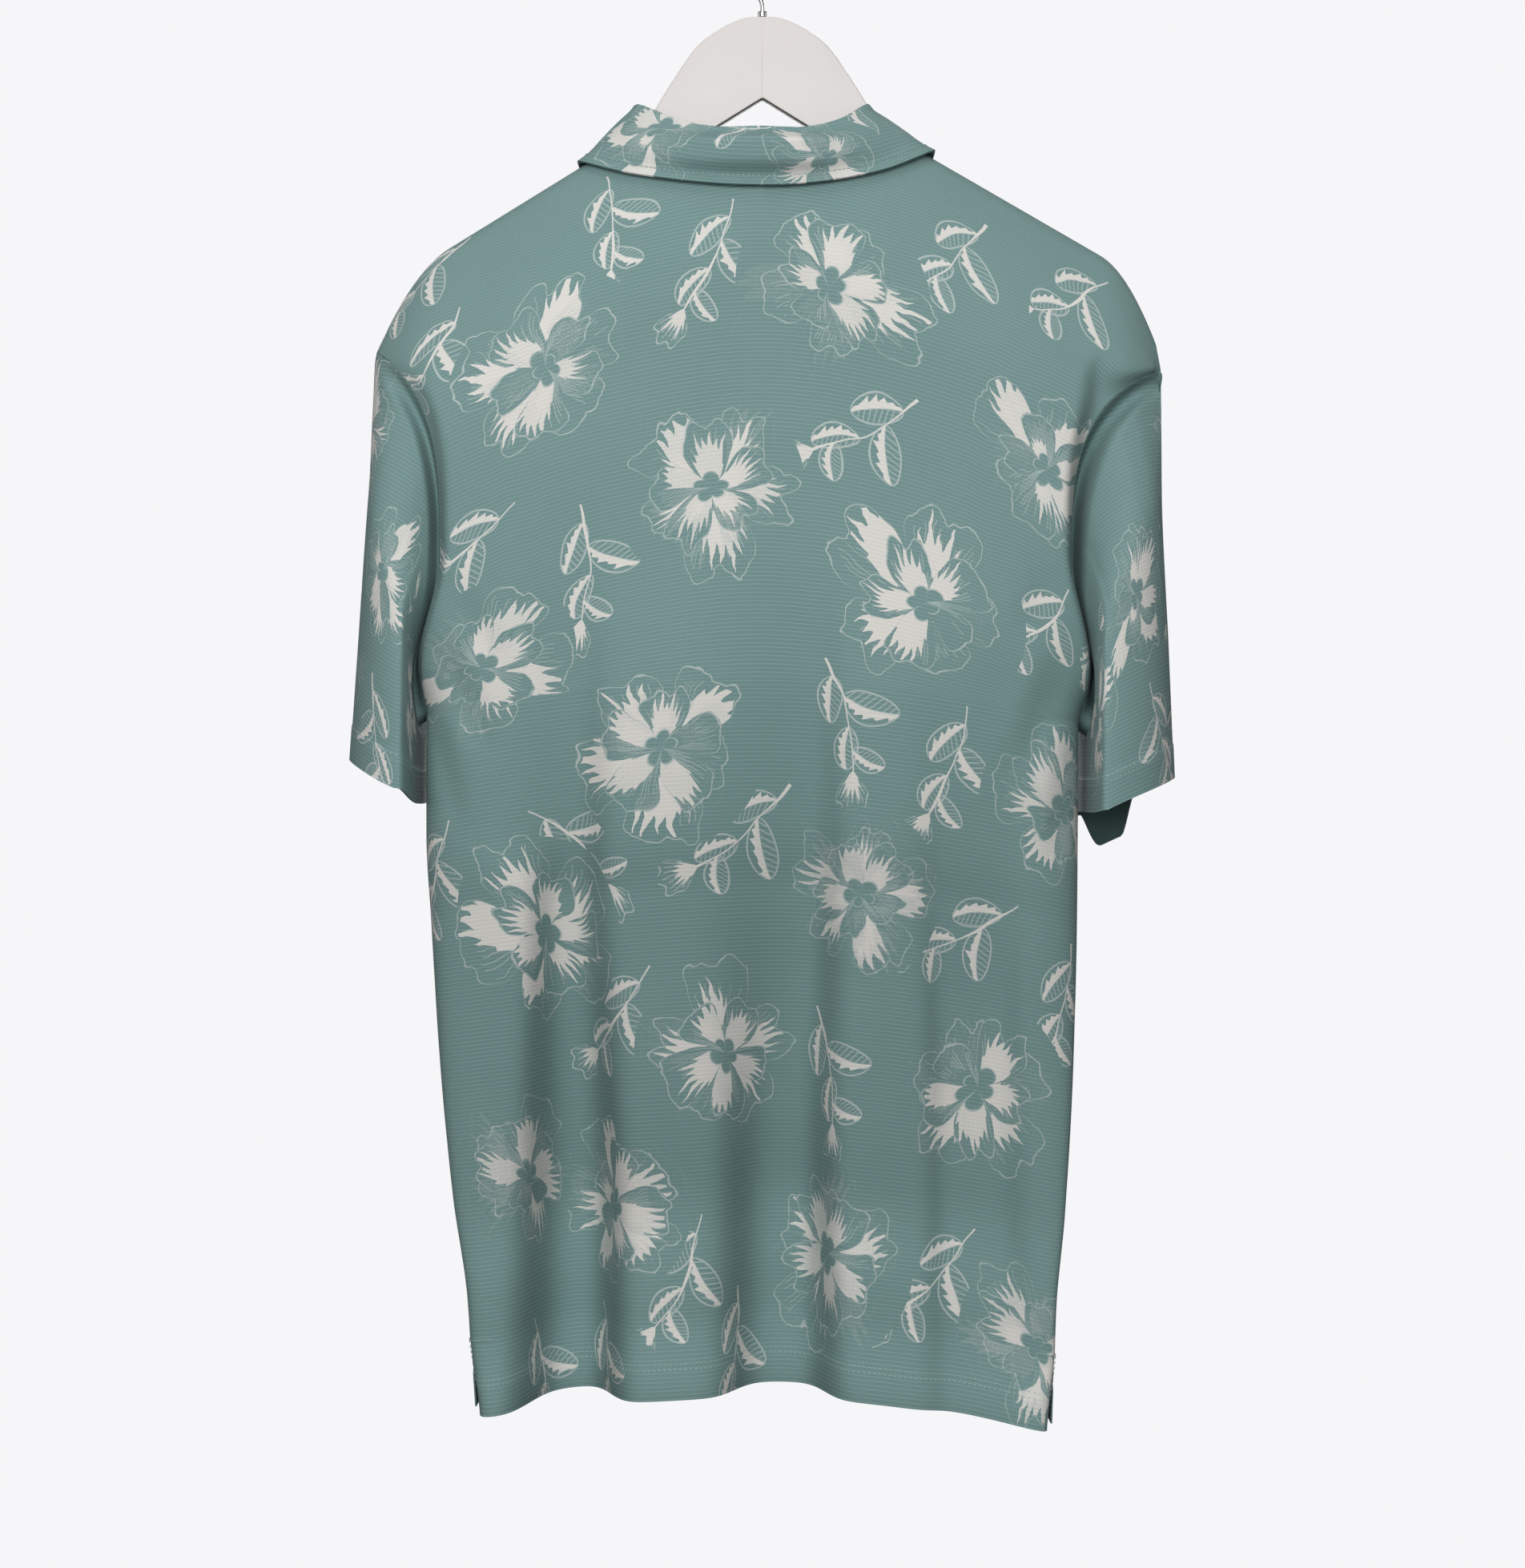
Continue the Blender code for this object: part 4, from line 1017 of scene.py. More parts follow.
def armhole_seam(side):
    """The seam round the armhole and the panels' own direction across it, from the shoulder end
    down the back, under the arm and up the front."""
    last = len(CREST_ROWS) + ARM_ROWS - 1
    edge, inside = (-1, -2) if side > 0 else (0, 1)
    back, front = panels[1][0], panels[-1][0]
    seam = np.concatenate([back[: last + 1, edge], front[last - 1 : 0 : -1, edge]])
    out = seam - np.concatenate([back[: last + 1, inside], front[last - 1 : 0 : -1, inside]])
    for station in (0, last):
        seam[station, 1] = out[station, 1] = 0.0
    run = np.roll(seam, -1, 0) - np.roll(seam, 1, 0)
    run /= np.linalg.norm(run, axis=1, keepdims=True)
    out = out - run * (out * run).sum(axis=1, keepdims=True)
    out /= np.linalg.norm(out, axis=1, keepdims=True)
    return seam * (1.0, 1.0, -1.0), out * (1.0, 1.0, -1.0), last


def sleeve_ring(side, row, turns):
    _, outer, ridge, inner, depth, low_outer, low_back, low_inner, low_front, front_drop = row
    cosine, sine = np.cos(turns), np.sin(turns)
    middle = low_front + (low_back - low_front) * (1 + sine) / 2
    x_out = ridge + (outer - ridge) * np.clip(cosine, 0.0, None) ** ARC_POWER
    x_in = ridge + (inner - ridge) * np.clip(-cosine, 0.0, None) ** 0.5
    low_far = middle - np.clip(cosine, 0.0, None) ** HEM_POWER[side] * (middle - low_outer)
    low_near = middle + np.clip(-cosine, 0.0, None) ** HEM_POWER[side] * (low_inner - middle)
    x = np.where(cosine > 0, x_out, x_in)
    corner = ease((cosine - 0.02) / 0.38) * (1.0 - ease((cosine - 0.62) / 0.16)) * (sine < 0)
    low = np.where(cosine > 0, low_far, low_near) + front_drop * corner
    y = depth * np.copysign(np.abs(sine) ** RIDGE_POWER, sine)
    return np.stack([side * x, y, low], axis=1)


sleeve_grids = {}
for side, name in ((1, "left"), (-1, "right")):
    seam, out, under_at = armhole_seam(side)
    length = run_along(np.vstack([seam, seam[:1]]))
    half_way = length[under_at]
    turns = np.where(
        length[:-1] <= half_way,
        length[:-1] / half_way * math.pi,
        math.pi + (length[:-1] - half_way) / (length[-1] - half_way) * math.pi,
    )
    rings = [sleeve_ring(side, row, turns) for row in SLEEVES[side]]
    _, _, middle, bottom = ARMHOLE[side]
    ahead = rings[0] - seam
    ahead /= np.linalg.norm(ahead, axis=1, keepdims=True)
    under = ease((seam[:, 2:] - middle) / (bottom - middle))
    leave = (out * 0.4 + ahead) * (1.0 - under) + np.array(UNDERARM_LEAVE) * (side, 1, 1) * under
    leave /= np.linalg.norm(leave, axis=1, keepdims=True)
    rings = np.array([seam + out * SEAM_GAP, seam + leave * SLEEVE_LEAVE] + rings)
    ring_places = [0.0, SLEEVE_LEAVE_AT] + [row[0] for row in SLEEVES[side]]
    steps = np.linspace(0.0, 1.0, SLEEVE_ROWS + 1) ** 1.1
    points = np.zeros((len(steps), len(seam), 3))
    for station in range(len(seam)):
        for axis in range(3):
            points[:, station, axis] = smooth_through(ring_places, rings[:, station, axis], steps)
    points[..., 2] *= -1
    lengths = np.linalg.norm(np.diff(points, axis=0), axis=2)
    from_seam = np.concatenate([np.zeros((1, len(seam))), np.cumsum(lengths, axis=0)])
    up = from_seam[-1:] - from_seam
    start_low = seam[None, :, 2] + np.zeros_like(up)
    dip = groove_at(side, start_low, from_seam) * (1.0 - np.exp(-((from_seam / GROOVE_LIP) ** 2)))
    points[..., 1] -= np.sign(points[..., 1]) * np.minimum(dip, np.abs(points[..., 1]) * DIP_MOST)
    normals = grid_normals(points, closed=True) * -side
    round_seam = np.roll(seam, -1, 0) - np.roll(seam, 1, 0)
    square = np.cross(round_seam, out) * (1.0, 1.0, -1.0) * side
    normals[0] = square / np.linalg.norm(square, axis=1, keepdims=True)
    half = len(seam) // 2 + 1
    order = np.r_[half : len(seam), 0:half]
    points, normals, up = points[:, order], normals[:, order], up[:, order]
    spans = np.linalg.norm(np.roll(points, -1, 1) - points, axis=2)
    around = np.concatenate([np.zeros((len(points), 1)), np.cumsum(spans, axis=1)], axis=1)
    around -= around[:, len(seam) - half : len(seam) - half + 1]
    places = np.stack([around * side, np.concatenate([up, up[:, :1]], axis=1)], axis=2)
    sleeve_grids[side] = points, normals, places
    stand = hem_stand(up)[..., None]
    sleeve = cloth_mesh(
        "sleeve_" + name + "_cloth", points + normals * stand, normals, places, CLOTH_THICK,
        SLEEVE_BLOOMS, SLEEVE_SPRIGS, closed=True, flip=side < 0,
    )
    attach(sleeve, "root")
    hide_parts("sleeve_" + name)


# ---------------------------------------------------------------- collar
# A soft one-piece collar of the same knit, doubled: a low stand sewn to the neckline, folded over
# so that the fall rolls out at the back of the neck and lies down on the shoulders.
COLLAR = (
    # turn, stand, edge_half, edge_low, clearance, roll
    (-45.0, 22.5, -77.0, 165.5, 3.2, 5.0),
    (0.0, 25.0, 0.0, 177.0, 3.2, 13.0),
    (45.0, 22.5, 77.0, 165.5, 3.2, 5.0),
    (90.0, 18.5, 109.0, 153.5, 3.0, 0.5),
    (125.0, 20.0, 90.0, 199.0, 3.6, 1.5),
    (155.0, 20.0, 65.0, 233.0, 5.0, 2.0),
    (178.0, 14.0, 46.0, 253.0, 6.0, 1.0),
)
COLLAR_NARROW = {1: 2.0, -1: 14.5}
COLLAR_EDGE_SHARE = 0.6
COLLAR_LIFT = {1: 2.0, -1: 1.5}
COLLAR_FLIP = 1.8
COLLAR_THICK = 1.4
FOLD_RADIUS = 2.4
COLLAR_STATIONS = 91
COLLAR_ROWS = 44
FALL_ROW = 33
COLLAR_BLOOMS = (
    (-150.0, 30.0, 48.0, 20.0),
    (-44.0, 14.0, 46.0, 140.0),
    (76.0, 34.0, 50.0, 290.0),
    (190.0, 20.0, 46.0, 60.0),
)
COLLAR_SPRIGS = (
    (-85.7, 40.2, 60.5, 330.0),
    (20.6, 40.1, 58.8, 342.0),
    (146.6, 15.8, 57.1, 12.0),
    (-193.8, 43.2, 55.4, 5.0),
)


def neck_point(turn_deg, side):
    """A point of the neckline, from the centre back round to the centre front."""
    x = side * NECK_HALF * math.sin(math.radians(turn_deg))
    face = 1 if turn_deg <= 90.0 else -1
    low = float(neck_low(face, x))
    return np.array([x, float(upper_y(face, x, low)), -low])


def collar_section(turn_deg, side):
    """The folded collar's line at one place: up the stand, over the fold and down the fall."""
    turns = column(COLLAR, 0)
    stand, half, low, clearance, roll = (
        float(smooth_through(turns, column(COLLAR, i), turn_deg)) for i in range(1, 6)
    )
    face = 1 if turn_deg <= 90.0 else -1
    base = neck_point(turn_deg, side)
    inward = np.array([-base[0], -base[1], 0.0])
    inward /= np.linalg.norm(inward)
    up = np.array([0.0, 0.0, 1.0])
    foot = base + up * 0.6 + inward * 0.8
    fold = base + up * stand + inward * 3.0
    edge_x = side * half
    edge_y = float(upper_y(face, edge_x, max(low, float(crest_low(edge_x)))))
    edge = np.array([edge_x, edge_y, -low])
    facing = abs(math.cos(math.radians(turn_deg))) ** 0.5
    slope = CREST_SLOPE[side]
    away = np.array([side * slope * abs(math.sin(math.radians(turn_deg))), face * facing, 0.3])
    if abs(turn_deg - 90.0) < 1e-6:
        away = np.array([side * slope, 0.0, 1.0])
    edge = edge + away / np.linalg.norm(away) * clearance
    narrow = side * COLLAR_NARROW[side] * abs(math.sin(math.radians(turn_deg))) ** 2
    fold[0] -= narrow
    edge += np.array([-narrow, 0.0, side * narrow * slope * COLLAR_LIFT[side]]) * COLLAR_EDGE_SHARE
    spread = edge - fold
    spread[2] = 0.0
    out = spread / max(np.linalg.norm(spread), 1e-6)
    out = out * 0.5 - inward * 0.5
    out /= np.linalg.norm(out)
    below = fold - up * FOLD_RADIUS
    crown = below + up * FOLD_RADIUS + out * FOLD_RADIUS * 0.9
    outer = below + out * FOLD_RADIUS * 1.9 - up * 0.6
    fall = edge - outer
    controls = np.array(
        [
            foot,
            foot + (below - foot) * 0.5,
            below,
            crown,
            outer,
            outer + fall * 0.25 + out * roll * 1.00,
            outer + fall * 0.55 + out * roll * 0.82,
            outer + fall * 0.84 + out * roll * 0.06,
            edge + out * COLLAR_FLIP,
        ]
    )
    length = run_along(controls)
    at = np.linspace(0.0, length[-1], COLLAR_ROWS)
    return np.array([smooth_through(length, controls[:, axis], at) for axis in range(3)]).T


turns = np.linspace(0.0, COLLAR[-1][0], COLLAR_STATIONS)
stations = [(turn, -1) for turn in turns[::-1]] + [(turn, 1) for turn in turns[1:]]
line = np.array([collar_section(turn, side) for turn, side in stations]).transpose(1, 0, 2)
for _ in range(3):
    line[:, 1:-1] = (line[:, :-2] + 2.0 * line[:, 1:-1] + line[:, 2:]) / 4.0
normals = grid_normals(line)
run = run_along(line[FALL_ROW])
run -= run[-1] / 2
steps = np.linalg.norm(np.diff(line, axis=0), axis=2)
rise = np.concatenate([np.cumsum(steps[::-1], axis=0)[::-1], np.zeros((1, line.shape[1]))])
places = np.stack([np.broadcast_to(run, rise.shape), rise], axis=2)
collar_grid = line + normals * COLLAR_THICK / 2, normals, places
collar = cloth_mesh(
    "collar_cloth", collar_grid[0], normals, places, COLLAR_THICK, COLLAR_BLOOMS, COLLAR_SPRIGS,
    flip=True,
)
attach(collar, "root")
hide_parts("collar")


# ---------------------------------------------------------------- placket
# A closed front placket: a doubled strip of the knit laid over the centre front from the neckline
# down, edge-stitched all round, with a stitched box at its foot.
PLACKET_HALF = 16.0
PLACKET_LOW = 358.0
PLACKET_THICK = 1.5
PLACKET_COLUMNS = 33
PLACKET_ROWS = 121


def front_y(x, low):
    """The depth of the front's outer face near the centre line."""
    height = low - float(droop(x, SHOULDER_END))
    if height < SHOULDER_END:
        return float(upper_y(-1, x, low))
    side = 1 if x >= 0 else -1
    line = half_section(-1, side, height, section_depth(-1, height))
    return float(np.interp(abs(x), np.abs(line[:, 0]), line[:, 1]))


xs = np.linspace(-PLACKET_HALF, PLACKET_HALF, PLACKET_COLUMNS)
grid = np.zeros((PLACKET_ROWS, PLACKET_COLUMNS, 3))
for col, x in enumerate(xs):
    top = float(neck_low(-1, x)) + 0.6
    for row, low in enumerate(np.linspace(top, PLACKET_LOW, PLACKET_ROWS)):
        grid[row, col] = x, front_y(x, low), -low
normals = grid_normals(grid) * -1
edge_roll = np.clip((PLACKET_HALF - np.abs(xs)) / 1.0, 0.0, 1.0) ** 0.5
surface = grid + normals * (SEAM_GAP + PLACKET_THICK * (0.55 + 0.45 * edge_roll))[None, :, None]
places = np.stack([grid[..., 0], grid[..., 2]], axis=2)
placket_grid = surface, normals, places
placket = cloth_mesh(
    "placket_cloth", surface, normals, places, PLACKET_THICK * 0.55, BLOOMS[-1], SPRIGS[-1]
)
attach(placket, "root")
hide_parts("placket")


# ---------------------------------------------------------------- stitching
# Tonal thread, paler than the cloth: two needle rows round the body and sleeve hems, and single
# rows along the collar's edge, the placket and the side vents, with a bar tack over each vent.
STITCH_LENGTH = 2.3
STITCH_PITCH = 3.1
STITCH_THICK = 0.28
NEEDLE_GAP = 3.2
SLEEVE_HEM_TURN_UP = 19.5
COLLAR_STITCH_IN = 6.4
VENT_STITCH_IN = 6.0
TACK_BELOW = 4.0
TACK_COLUMNS = 9
TACK = (0.8, 2.4, 0.3)
THREAD_DARK = (0.235, 0.345, 0.335, 1.0)
THREAD_PALE = (0.36, 0.46, 0.445, 1.0)

tonal_thread, thread_shader, start = new_material("tonal_thread", {"Roughness": 0.6})
twist = start.place().noise(2600.0, 2.0, 0.6)
twist.step(0.3, 0.7).blend(THREAD_DARK, THREAD_PALE).feed(thread_shader, "Base Color")
twist.raise_surface(thread_shader, 0.2, 0.0001)


def stitch_row(path, normals, pitch=STITCH_PITCH, length=STITCH_LENGTH, thick=STITCH_THICK):
    """Corner points and faces of separate stitches laid on a line of cloth."""
    run = run_along(path)
    count = int(run[-1] / pitch)
    starts = (np.arange(count) + 0.5) * run[-1] / count - length / 2
    vertices, faces = [], []
    for start in starts:
        base = len(vertices)
        ends = read_at(start + length * np.array([0, 1]), run, path)
        up = read_at(start + length / 2, run, normals)
        forward = ends[1] - ends[0]
        forward /= np.linalg.norm(forward)
        up -= forward * (up @ forward)
        up /= np.linalg.norm(up)
        aside = np.cross(forward, up)
        vertices.append(ends[0] - up * thick * 0.4)
        for t in (0.2, 0.8):
            middle = ends[0] + (ends[1] - ends[0]) * t + up * thick * 0.25
            for turn in range(6):
                angle = math.tau * turn / 6
                vertices.append(middle + (up * math.sin(angle) + aside * math.cos(angle)) * thick)
        vertices.append(ends[1] - up * thick * 0.4)
        for turn in range(6):
            a, b = base + 1 + turn, base + 1 + (turn + 1) % 6
            faces += [(base, b, a), (a, b, b + 6, a + 6), (base + 13, a + 6, b + 6)]
    return np.array(vertices), faces


def thread_piece(name, rows):
    vertices, faces = [], []
    for row in rows:
        points, polygons = stitch_row(*row)
        offset = sum(len(v) for v in vertices)
        vertices.append(points)
        faces += [tuple(index + offset for index in polygon) for polygon in polygons]
    mesh = bpy.data.meshes.new(name)
    mesh.from_pydata((np.concatenate(vertices) * MM).tolist(), [], faces)
    mesh.materials.append(tonal_thread)
    mesh.polygons.foreach_set("use_smooth", np.ones(len(faces), bool))
    made = bpy.data.objects.new(name, mesh)
    bpy.context.collection.objects.link(made)
    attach(made, "root")
    return made


def course(grid, down):
    """A line across a piece of cloth at one height of its own, with its normals."""
    points, normals, places = grid
    heights = places[: len(points), : points.shape[1], 1]
    line, ups = [], []
    for col in range(points.shape[1]):
        line.append(read_at(down, heights[::-1, col], points[::-1, col]))
        ups.append(read_at(down, heights[::-1, col], normals[::-1, col]))
    return np.array(line), np.array(ups)


def wale(grid, inset, top, bottom, side):
    """A line down a piece of cloth at a distance in from one side edge, with its normals."""
    points, normals, places = grid
    line, ups = [], []
    for row in range(len(points)):
        height = places[row, 0, 1]
        if not bottom <= height <= top:
            continue
        across = places[row, : points.shape[1], 0]
        at = (across[-1] if side > 0 else across[0]) - side * inset
        line.append(read_at(at, across, points[row]))
        ups.append(read_at(at, across, normals[row]))
    return np.array(line), np.array(ups)


def proud(row, height):
    line, ups = row
    return line + ups * height, ups


for face, name in ((1, "back"), (-1, "front")):
    grid = panels[face]
    rows = [proud(course(grid, -HEM + HEM_TURN_UP + gap), 0.25) for gap in (0.0, -NEEDLE_GAP)]
    tack_down = -VENT_TOP - TACK_BELOW
    for side in (1, -1):
        rows.append(proud(wale(grid, VENT_STITCH_IN, tack_down, -HEM + 1.0, side), 0.5))
        ends = slice(-TACK_COLUMNS, None) if side > 0 else slice(0, TACK_COLUMNS)
        line, ups = course(grid, tack_down)
        rows.append((*proud((line[ends], ups[ends]), 0.3), *TACK))
    thread_piece(name + "_stitching", rows)
for side, name in ((1, "left"), (-1, "right")):
    grid = sleeve_grids[side]
    closed_rows = []
    for gap in (0.0, -NEEDLE_GAP):
        line, ups = proud(course(grid, SLEEVE_HEM_TURN_UP + gap), 0.25)
        closed_rows.append((np.vstack([line, line[:1]]), np.vstack([ups, ups[:1]])))
    thread_piece("sleeve_" + name + "_stitching", closed_rows)
thread_piece("collar_stitching", [proud(course(collar_grid, COLLAR_STITCH_IN), 0.22)])
points, normals, _ = placket_grid
lines = [np.s_[4:, 2], np.s_[4:, -3], np.s_[-3, 2:-2], np.s_[-17, 2:-2]]
thread_piece("placket_stitching", [proud((points[at], normals[at]), 0.1) for at in lines])


# ---------------------------------------------------------------- buttons
# Three four-hole resin buttons with a sunk middle, sewn through the placket with crossed thread.
BUTTON_RADIUS = 5.75
BUTTON_THICK = 2.6
BUTTON_HOLE = 0.85
BUTTON_HOLE_OUT = 1.755
BUTTON_RIM = 1.5
BUTTON_SLOPE = 0.5
BUTTON_SUNK = 0.8
CROSSING = (3.4, 3.3, 0.24)
RESIN_DARK = (0.56, 0.60, 0.57, 1.0)
RESIN_PALE = (0.70, 0.72, 0.68, 1.0)

button_resin, resin_shader, start = new_material("button_resin", {})
cloud = start.place().noise(420.0, 3.0, 0.5)
cloud.step(0.3, 0.75).blend(RESIN_DARK, RESIN_PALE).feed(resin_shader, "Base Color")
(start.place().noise(900.0, 2.0) * 0.12 + 0.22).feed(resin_shader, "Roughness")


def active_only(thing):
    bpy.ops.object.select_all(action="DESELECT")
    thing.select_set(True)
    bpy.context.view_layer.objects.active = thing


def settle(thing):
    """Put the object's place into its mesh."""
    active_only(thing)
    bpy.ops.object.transform_apply(location=True, rotation=True, scale=True)


def edit_top(thing):
    """Edit the object with only the faces that look up selected."""
    bpy.ops.object.mode_set(mode="EDIT")
    bpy.ops.mesh.select_all(action="DESELECT")
    shape = bmesh.from_edit_mesh(thing.data)
    for polygon in shape.faces:
        polygon.select = polygon.normal.z > 0.9
    bmesh.update_edit_mesh(thing.data)


def cut_away(thing, cutters):
    for cutter in cutters:
        cut = thing.modifiers.new("cut", "BOOLEAN")
        cut.operation = "DIFFERENCE"
        cut.object = cutter


def soften(thing, width, segments, over_deg=30.0):
    """Round the edges that turn by more than an angle."""
    edge = thing.modifiers.new("edge", "BEVEL")
    edge.width = width * MM
    edge.segments = segments
    edge.limit_method = "ANGLE"
    edge.angle_limit = math.radians(over_deg)


def finish_solid(thing, material, cutters=(), smooth_deg=35.0):
    """Apply the modifiers, throw the cutters away, and give the solid its shading."""
    active_only(thing)
    for modifier in [m.name for m in thing.modifiers]:
        bpy.ops.object.modifier_apply(modifier=modifier)
    for cutter in cutters:
        bpy.data.objects.remove(cutter, do_unlink=True)
    bpy.ops.object.shade_smooth_by_angle(angle=math.radians(smooth_deg))
    thing.data.materials.clear()
    thing.data.materials.append(material)


for number in (1, 2, 3):
    low_corner, high_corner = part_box(f"button_{number}")
    middle = (np.array(low_corner) + np.array(high_corner)) / 2
    bpy.ops.object.select_all(action="DESELECT")
    bpy.ops.mesh.primitive_cylinder_add(
        vertices=64, radius=BUTTON_RADIUS * MM, depth=BUTTON_THICK * MM, end_fill_type="NGON"
    )
    button = bpy.context.object
    button.name = f"button_{number}_resin"
    edit_top(button)
    bpy.ops.mesh.inset(thickness=BUTTON_RIM * MM)
    bpy.ops.mesh.inset(thickness=BUTTON_SLOPE * MM)
    bpy.ops.transform.translate(value=(0.0, 0.0, -BUTTON_SUNK * MM))
    bpy.ops.object.mode_set(mode="OBJECT")
    cutters = []
    for turn in range(4):
        angle = math.radians(45 + 90 * turn)
        at = BUTTON_HOLE_OUT * MM * math.cos(angle), BUTTON_HOLE_OUT * MM * math.sin(angle), 0.0
        bpy.ops.mesh.primitive_cylinder_add(
            vertices=20, radius=BUTTON_HOLE * MM, depth=4 * BUTTON_THICK * MM, location=at
        )
        cutters.append(bpy.context.object)
    cut_away(button, cutters)
    soften(button, 0.35, 3)
    finish_solid(button, button_resin, cutters)
    button.rotation_euler = (math.pi / 2, 0.0, 0.0)
    button.location = middle
    settle(button)
    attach(button, "root")
    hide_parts(f"button_{number}")
    out = BUTTON_HOLE_OUT * math.sqrt(0.5)
    face_y = middle[1] / MM - BUTTON_THICK / 2 + BUTTON_SUNK - 0.05
    crossing = []
    for sign in (1, -1):
        for shift in (-0.3, 0.3):
            ends = np.array([[-out, 0, -sign * out + shift], [out, 0, sign * out + shift]])
            ends += (middle[0] / MM, face_y - 0.15 * (sign > 0), middle[2] / MM)
            crossing.append((ends, np.array([[0.0, -1.0, 0.0]] * 2), *CROSSING))
    thread_piece(f"button_{number}_thread", crossing)


# ---------------------------------------------------------------- hanger
# A flat white board hanger, lacquered matt: a rounded bell at the neck, two sloping arms inside
# the shoulders, softened edges, and a fine joint down its middle. Painted shade darkens its under faces.
BOARD_THICK = 8.0
BOARD_TOP = 62.0
BOARD_APEX = 112.0
CHEVRON_SLOPE = 0.62
BELL = (
    # half_width, low
    (0.0, 62.0),
    (9.0, 62.6),
    (19.0, 66.0),
    (31.5, 73.3),
    (40.0, 80.5),
    (50.5, 95.0),
    (60.0, 109.7),
    (69.5, 126.0),
    (78.0, 140.5),
)
ARM_START = 90.0
ARM_END = 178.0
ARM_CLEARANCE = 5.0
JOINT_WIDE = 0.5
JOINT_DEEP = 0.4
LACQUER_DARK = (0.580, 0.549, 0.533, 1.0)
LACQUER_PALE = (0.607, 0.576, 0.559, 1.0)
# Near-black painted shade for the board's faces that turn downwards.
UNDERSIDE_PAINTED_SHADE = (0.090, 0.085, 0.082, 1.0)

board_white, board_shader, start = new_material("board_white", {})
grain = start.place().noise(900.0, 2.0, 0.6)
tone = start.place().noise(14.0, 3.0, 0.6) * 0.7 + grain * 0.3
lacquer = tone.step(0.3, 0.7).blend(LACQUER_DARK, LACQUER_PALE)
_, _, facing_up = start.node("ShaderNodeTexCoord", {}, output=1).apart()
# Faces turned downwards get the near-black colour, as painted shade under the board.
underside_shade_mask = (facing_up * -1.0).step(0.30, 0.55)
underside_shade_mask.blend(lacquer, UNDERSIDE_PAINTED_SHADE).feed(board_shader, "Base Color")
(grain * 0.15 + 0.42).feed(board_shader, "Roughness")
grain.raise_surface(board_shader, 0.12, 0.0002)

bell_steps = np.linspace(0.0, BELL[-1][0], 60)
bell_lows = smooth_through(column(BELL, 0), column(BELL, 1), bell_steps)
arm_steps = np.linspace(ARM_START, ARM_END, 24)
arm_lows = crest_low(arm_steps) + ARM_CLEARANCE
chevron_low = BOARD_APEX + CHEVRON_SLOPE * ARM_END
tip_middle, tip_radius = (arm_lows[-1] + chevron_low) / 2, (chevron_low - arm_lows[-1]) / 2
tip = [
    (ARM_END + tip_radius * 0.7 * math.sin(angle), tip_middle - tip_radius * math.cos(angle))
    for angle in np.linspace(0.0, math.pi, 25)[1:-1]
]
right_half = list(zip(bell_steps[1:], bell_lows[1:])) + list(zip(arm_steps, arm_lows)) + tip
right_half.append((ARM_END, chevron_low))
outline = [(0.0, BOARD_TOP)] + right_half + [(0.0, BOARD_APEX)]
outline += [(-x, low) for x, low in reversed(right_half)]

bpy.ops.object.select_all(action="DESELECT")
bpy.ops.mesh.primitive_circle_add(vertices=len(outline), radius=0.1, fill_type="NGON")
board = bpy.context.object
board.name = "hanger_board"
for vertex, (x, low) in zip(board.data.vertices, outline):
    vertex.co = (x * MM, BOARD_THICK / 2 * MM, -low * MM)
bpy.ops.object.mode_set(mode="EDIT")
bpy.ops.mesh.select_all(action="SELECT")
bpy.ops.mesh.extrude_region_move(TRANSFORM_OT_translate={"value": (0.0, -BOARD_THICK * MM, 0.0)})
bpy.ops.mesh.select_all(action="SELECT")
bpy.ops.mesh.normals_make_consistent(inside=False)
bpy.ops.object.mode_set(mode="OBJECT")
cutters = []
for side in (1, -1):
    bpy.ops.mesh.primitive_cube_add(
        size=1.0, location=(0.0, side * BOARD_THICK / 2 * MM, -(BOARD_TOP + BOARD_APEX) / 2 * MM)
    )
    cutter = bpy.context.object
    cutter.scale = (JOINT_WIDE * MM, 2 * JOINT_DEEP * MM, (BOARD_APEX - BOARD_TOP + 20.0) * MM)
    settle(cutter)
    cutters.append(cutter)
soften(board, 1.3, 4, 50.0)
cut_away(board, cutters)
finish_solid(board, board_white, cutters)
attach(board, "root")
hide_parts("hanger")


# ---------------------------------------------------------------- hook and ferrule
# A plain bent-wire hook, bright and brushed, screwed into the board through a small turned collar.
WIRE_RADIUS = 1.3
HOOK_RADIUS = 21.0
HOOK_START_DEG = -52.0
HOOK_OPEN_DEG = 215.0
STEM_DEPTH = 16.0
FERRULE_RADIUS = 2.8
FERRULE_HEIGHT = 3.2
STEEL_DARK = (0.52, 0.52, 0.53, 1.0)
STEEL_PALE = (0.66, 0.66, 0.66, 1.0)
BRUSHED = (900.0, 900.0, 60.0)

hook_steel, steel_shader, start = new_material("hook_steel", {"Metallic": 1.0})
stretched = start.node("ShaderNodeMapping", {"Vector": start.place(), "Scale": BRUSHED})
scratch = stretched.noise(1.0, 2.0, 0.6)
scratch.step(0.3, 0.7).blend(STEEL_DARK, STEEL_PALE).feed(steel_shader, "Base Color")
(scratch * 0.2 + 0.22).feed(steel_shader, "Roughness")

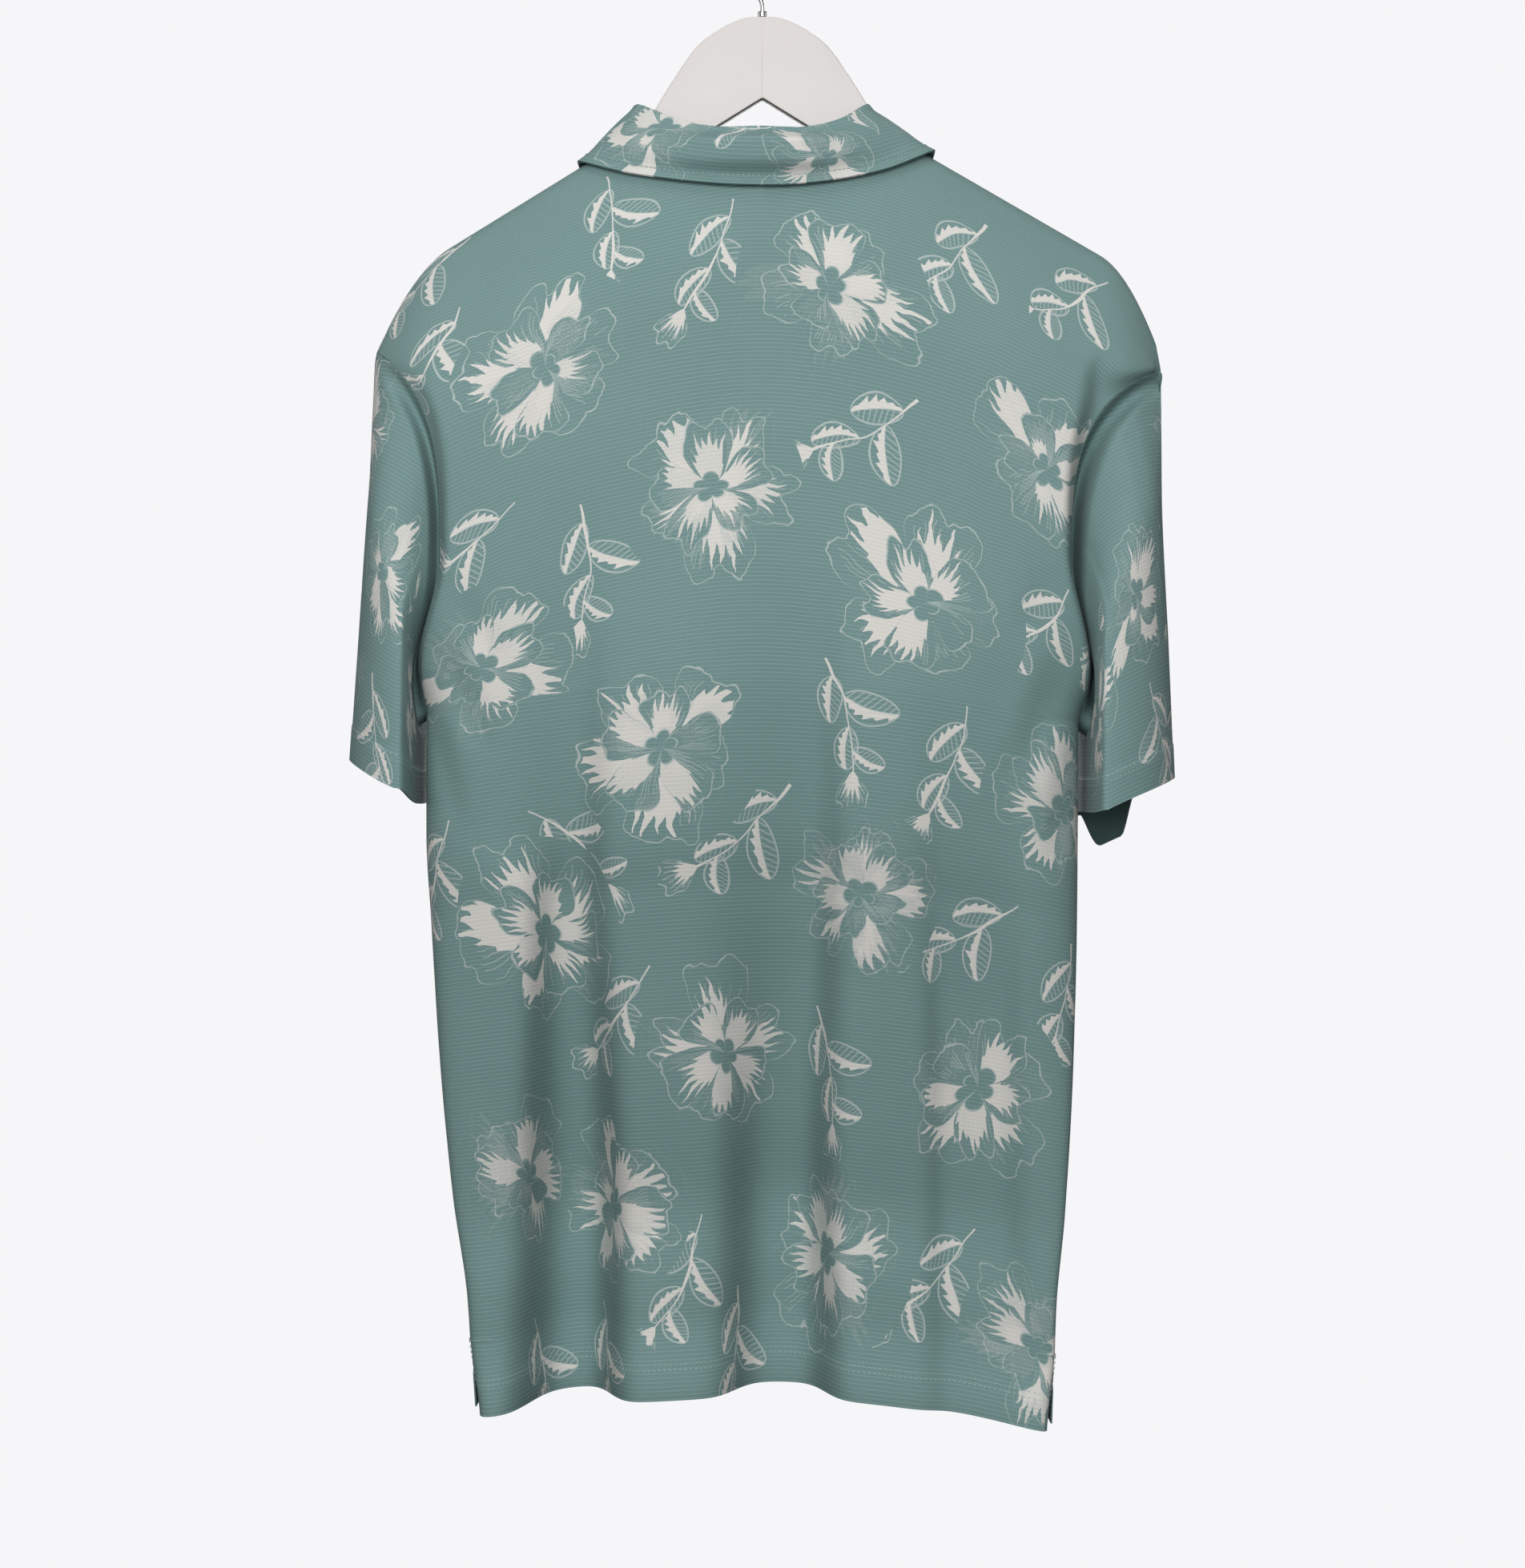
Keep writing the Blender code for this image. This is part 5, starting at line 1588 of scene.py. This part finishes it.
radius = HOOK_RADIUS + WIRE_RADIUS
route = [(0.0, BOARD_TOP + STEM_DEPTH), (0.0, BOARD_TOP), (0.0, BOARD_TOP - 6.0)]
route += [(1.5, BOARD_TOP - 11.5), (6.5, BOARD_TOP - 15.5)]
for angle in np.radians(np.linspace(HOOK_START_DEG, HOOK_START_DEG + HOOK_OPEN_DEG, 30)):
    route.append((radius * math.cos(angle), HOOK_RADIUS - radius * math.sin(angle)))
route = np.array(route)
run = run_along(route)
fine = np.linspace(0.0, run[-1], 240)
wire_x, wire_low = (smooth_through(run, route[:, axis], fine) for axis in (0, 1))
curve = bpy.data.curves.new("hook_wire", "CURVE")
curve.dimensions = "3D"
curve.bevel_depth = WIRE_RADIUS * MM
curve.bevel_resolution = 7
curve.use_fill_caps = True
spline = curve.splines.new("POLY")
spline.points.add(len(fine) - 1)
for point, x, low in zip(spline.points, wire_x, wire_low):
    point.co = (x * MM, 0.0, -low * MM, 1.0)
hook = bpy.data.objects.new("hook_wire", curve)
bpy.context.collection.objects.link(hook)
active_only(hook)
bpy.ops.object.convert(target="MESH")
hook = bpy.context.object
finish_solid(hook, hook_steel, smooth_deg=50.0)
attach(hook, "root")
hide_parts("hook")

bpy.ops.object.select_all(action="DESELECT")
bpy.ops.mesh.primitive_cylinder_add(
    vertices=64,
    radius=FERRULE_RADIUS * MM,
    depth=FERRULE_HEIGHT * MM,
    end_fill_type="NGON",
    location=(0.0, 0.0, -(BOARD_TOP - SEAM_GAP - FERRULE_HEIGHT / 2) * MM),
)
ferrule = bpy.context.object
ferrule.name = "ferrule_collar"
edit_top(ferrule)
bpy.ops.mesh.inset(thickness=1.0 * MM)
bpy.ops.transform.translate(value=(0.0, 0.0, -0.3 * MM))
bpy.ops.object.mode_set(mode="OBJECT")
bpy.ops.mesh.primitive_cylinder_add(
    vertices=48, radius=(WIRE_RADIUS + SEAM_GAP) * MM, depth=0.03, location=(0, 0, -BOARD_TOP * MM)
)
bore = bpy.context.object
cut_away(ferrule, [bore])
soften(ferrule, 0.6, 3)
finish_solid(ferrule, hook_steel, [bore])
settle(ferrule)
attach(ferrule, "root")
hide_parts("ferrule")


# ---------------------------------------------------------------- floor and light
# A plain pale floor well below the hem and a soft, even studio light, a little stronger from above.
FLOOR_LOW = 1300.0
FLOOR_RADIUS = 60000.0
PALE = (0.922, 0.922, 0.938, 1.0)
FLOOR_SURFACE = {
    "Base Color": (0.0, 0.0, 0.0, 1.0),
    "Roughness": 1.0,
    "Specular IOR Level": 0.0,
    "Emission Color": PALE,
    "Emission Strength": 1.0,
}

bpy.ops.object.select_all(action="DESELECT")
bpy.ops.mesh.primitive_circle_add(
    vertices=64, radius=FLOOR_RADIUS * MM, fill_type="NGON", location=(0, 0, -FLOOR_LOW * MM)
)
floor = bpy.context.object
floor.name = "floor"
pale, _, _ = new_material("pale_floor", FLOOR_SURFACE)
floor.data.materials.append(pale)

floor.visible_diffuse = False
floor.visible_glossy = False

world = bpy.data.worlds.new("studio")
bpy.context.scene.world = world
world.use_nodes = True
background = world.node_tree.nodes["Background"]
background.inputs["Color"].default_value = PALE
background.inputs["Strength"].default_value = 1.0
world.cycles_visibility.diffuse = False
world.cycles_visibility.glossy = False
AIM = (0.0, 0.0, -0.5)
for name, place, power, size in (
    # name, place, watts, size
    ("key", (0.15, 1.85, 0.05), 36.0, 1.2),
    ("top", (0.0, 0.5, 1.3), 9.5, 1.0),
    ("low", (-0.1, 1.9, -1.2), 4.6, 1.2),
    ("left_side", (2.0, 0.0, 0.1), 6.5, 1.2),
    ("right_side", (-2.0, 0.0, 0.1), 6.5, 1.2),
    ("far", (-0.15, -1.85, 0.05), 35.0, 1.2),
    ("far_low", (0.1, -1.9, -1.2), 5.5, 1.2),
):
    bpy.ops.object.light_add(type="AREA", location=place)
    lamp = bpy.context.object
    lamp.name = name + "_light"
    lamp.data.energy = power
    lamp.data.size = size
    lamp.visible_camera = False
    aim = Vector(AIM) - Vector(place)
    lamp.rotation_euler = aim.to_track_quat("-Z", "Y").to_euler()
bpy.context.scene.view_settings.view_transform = "Standard"
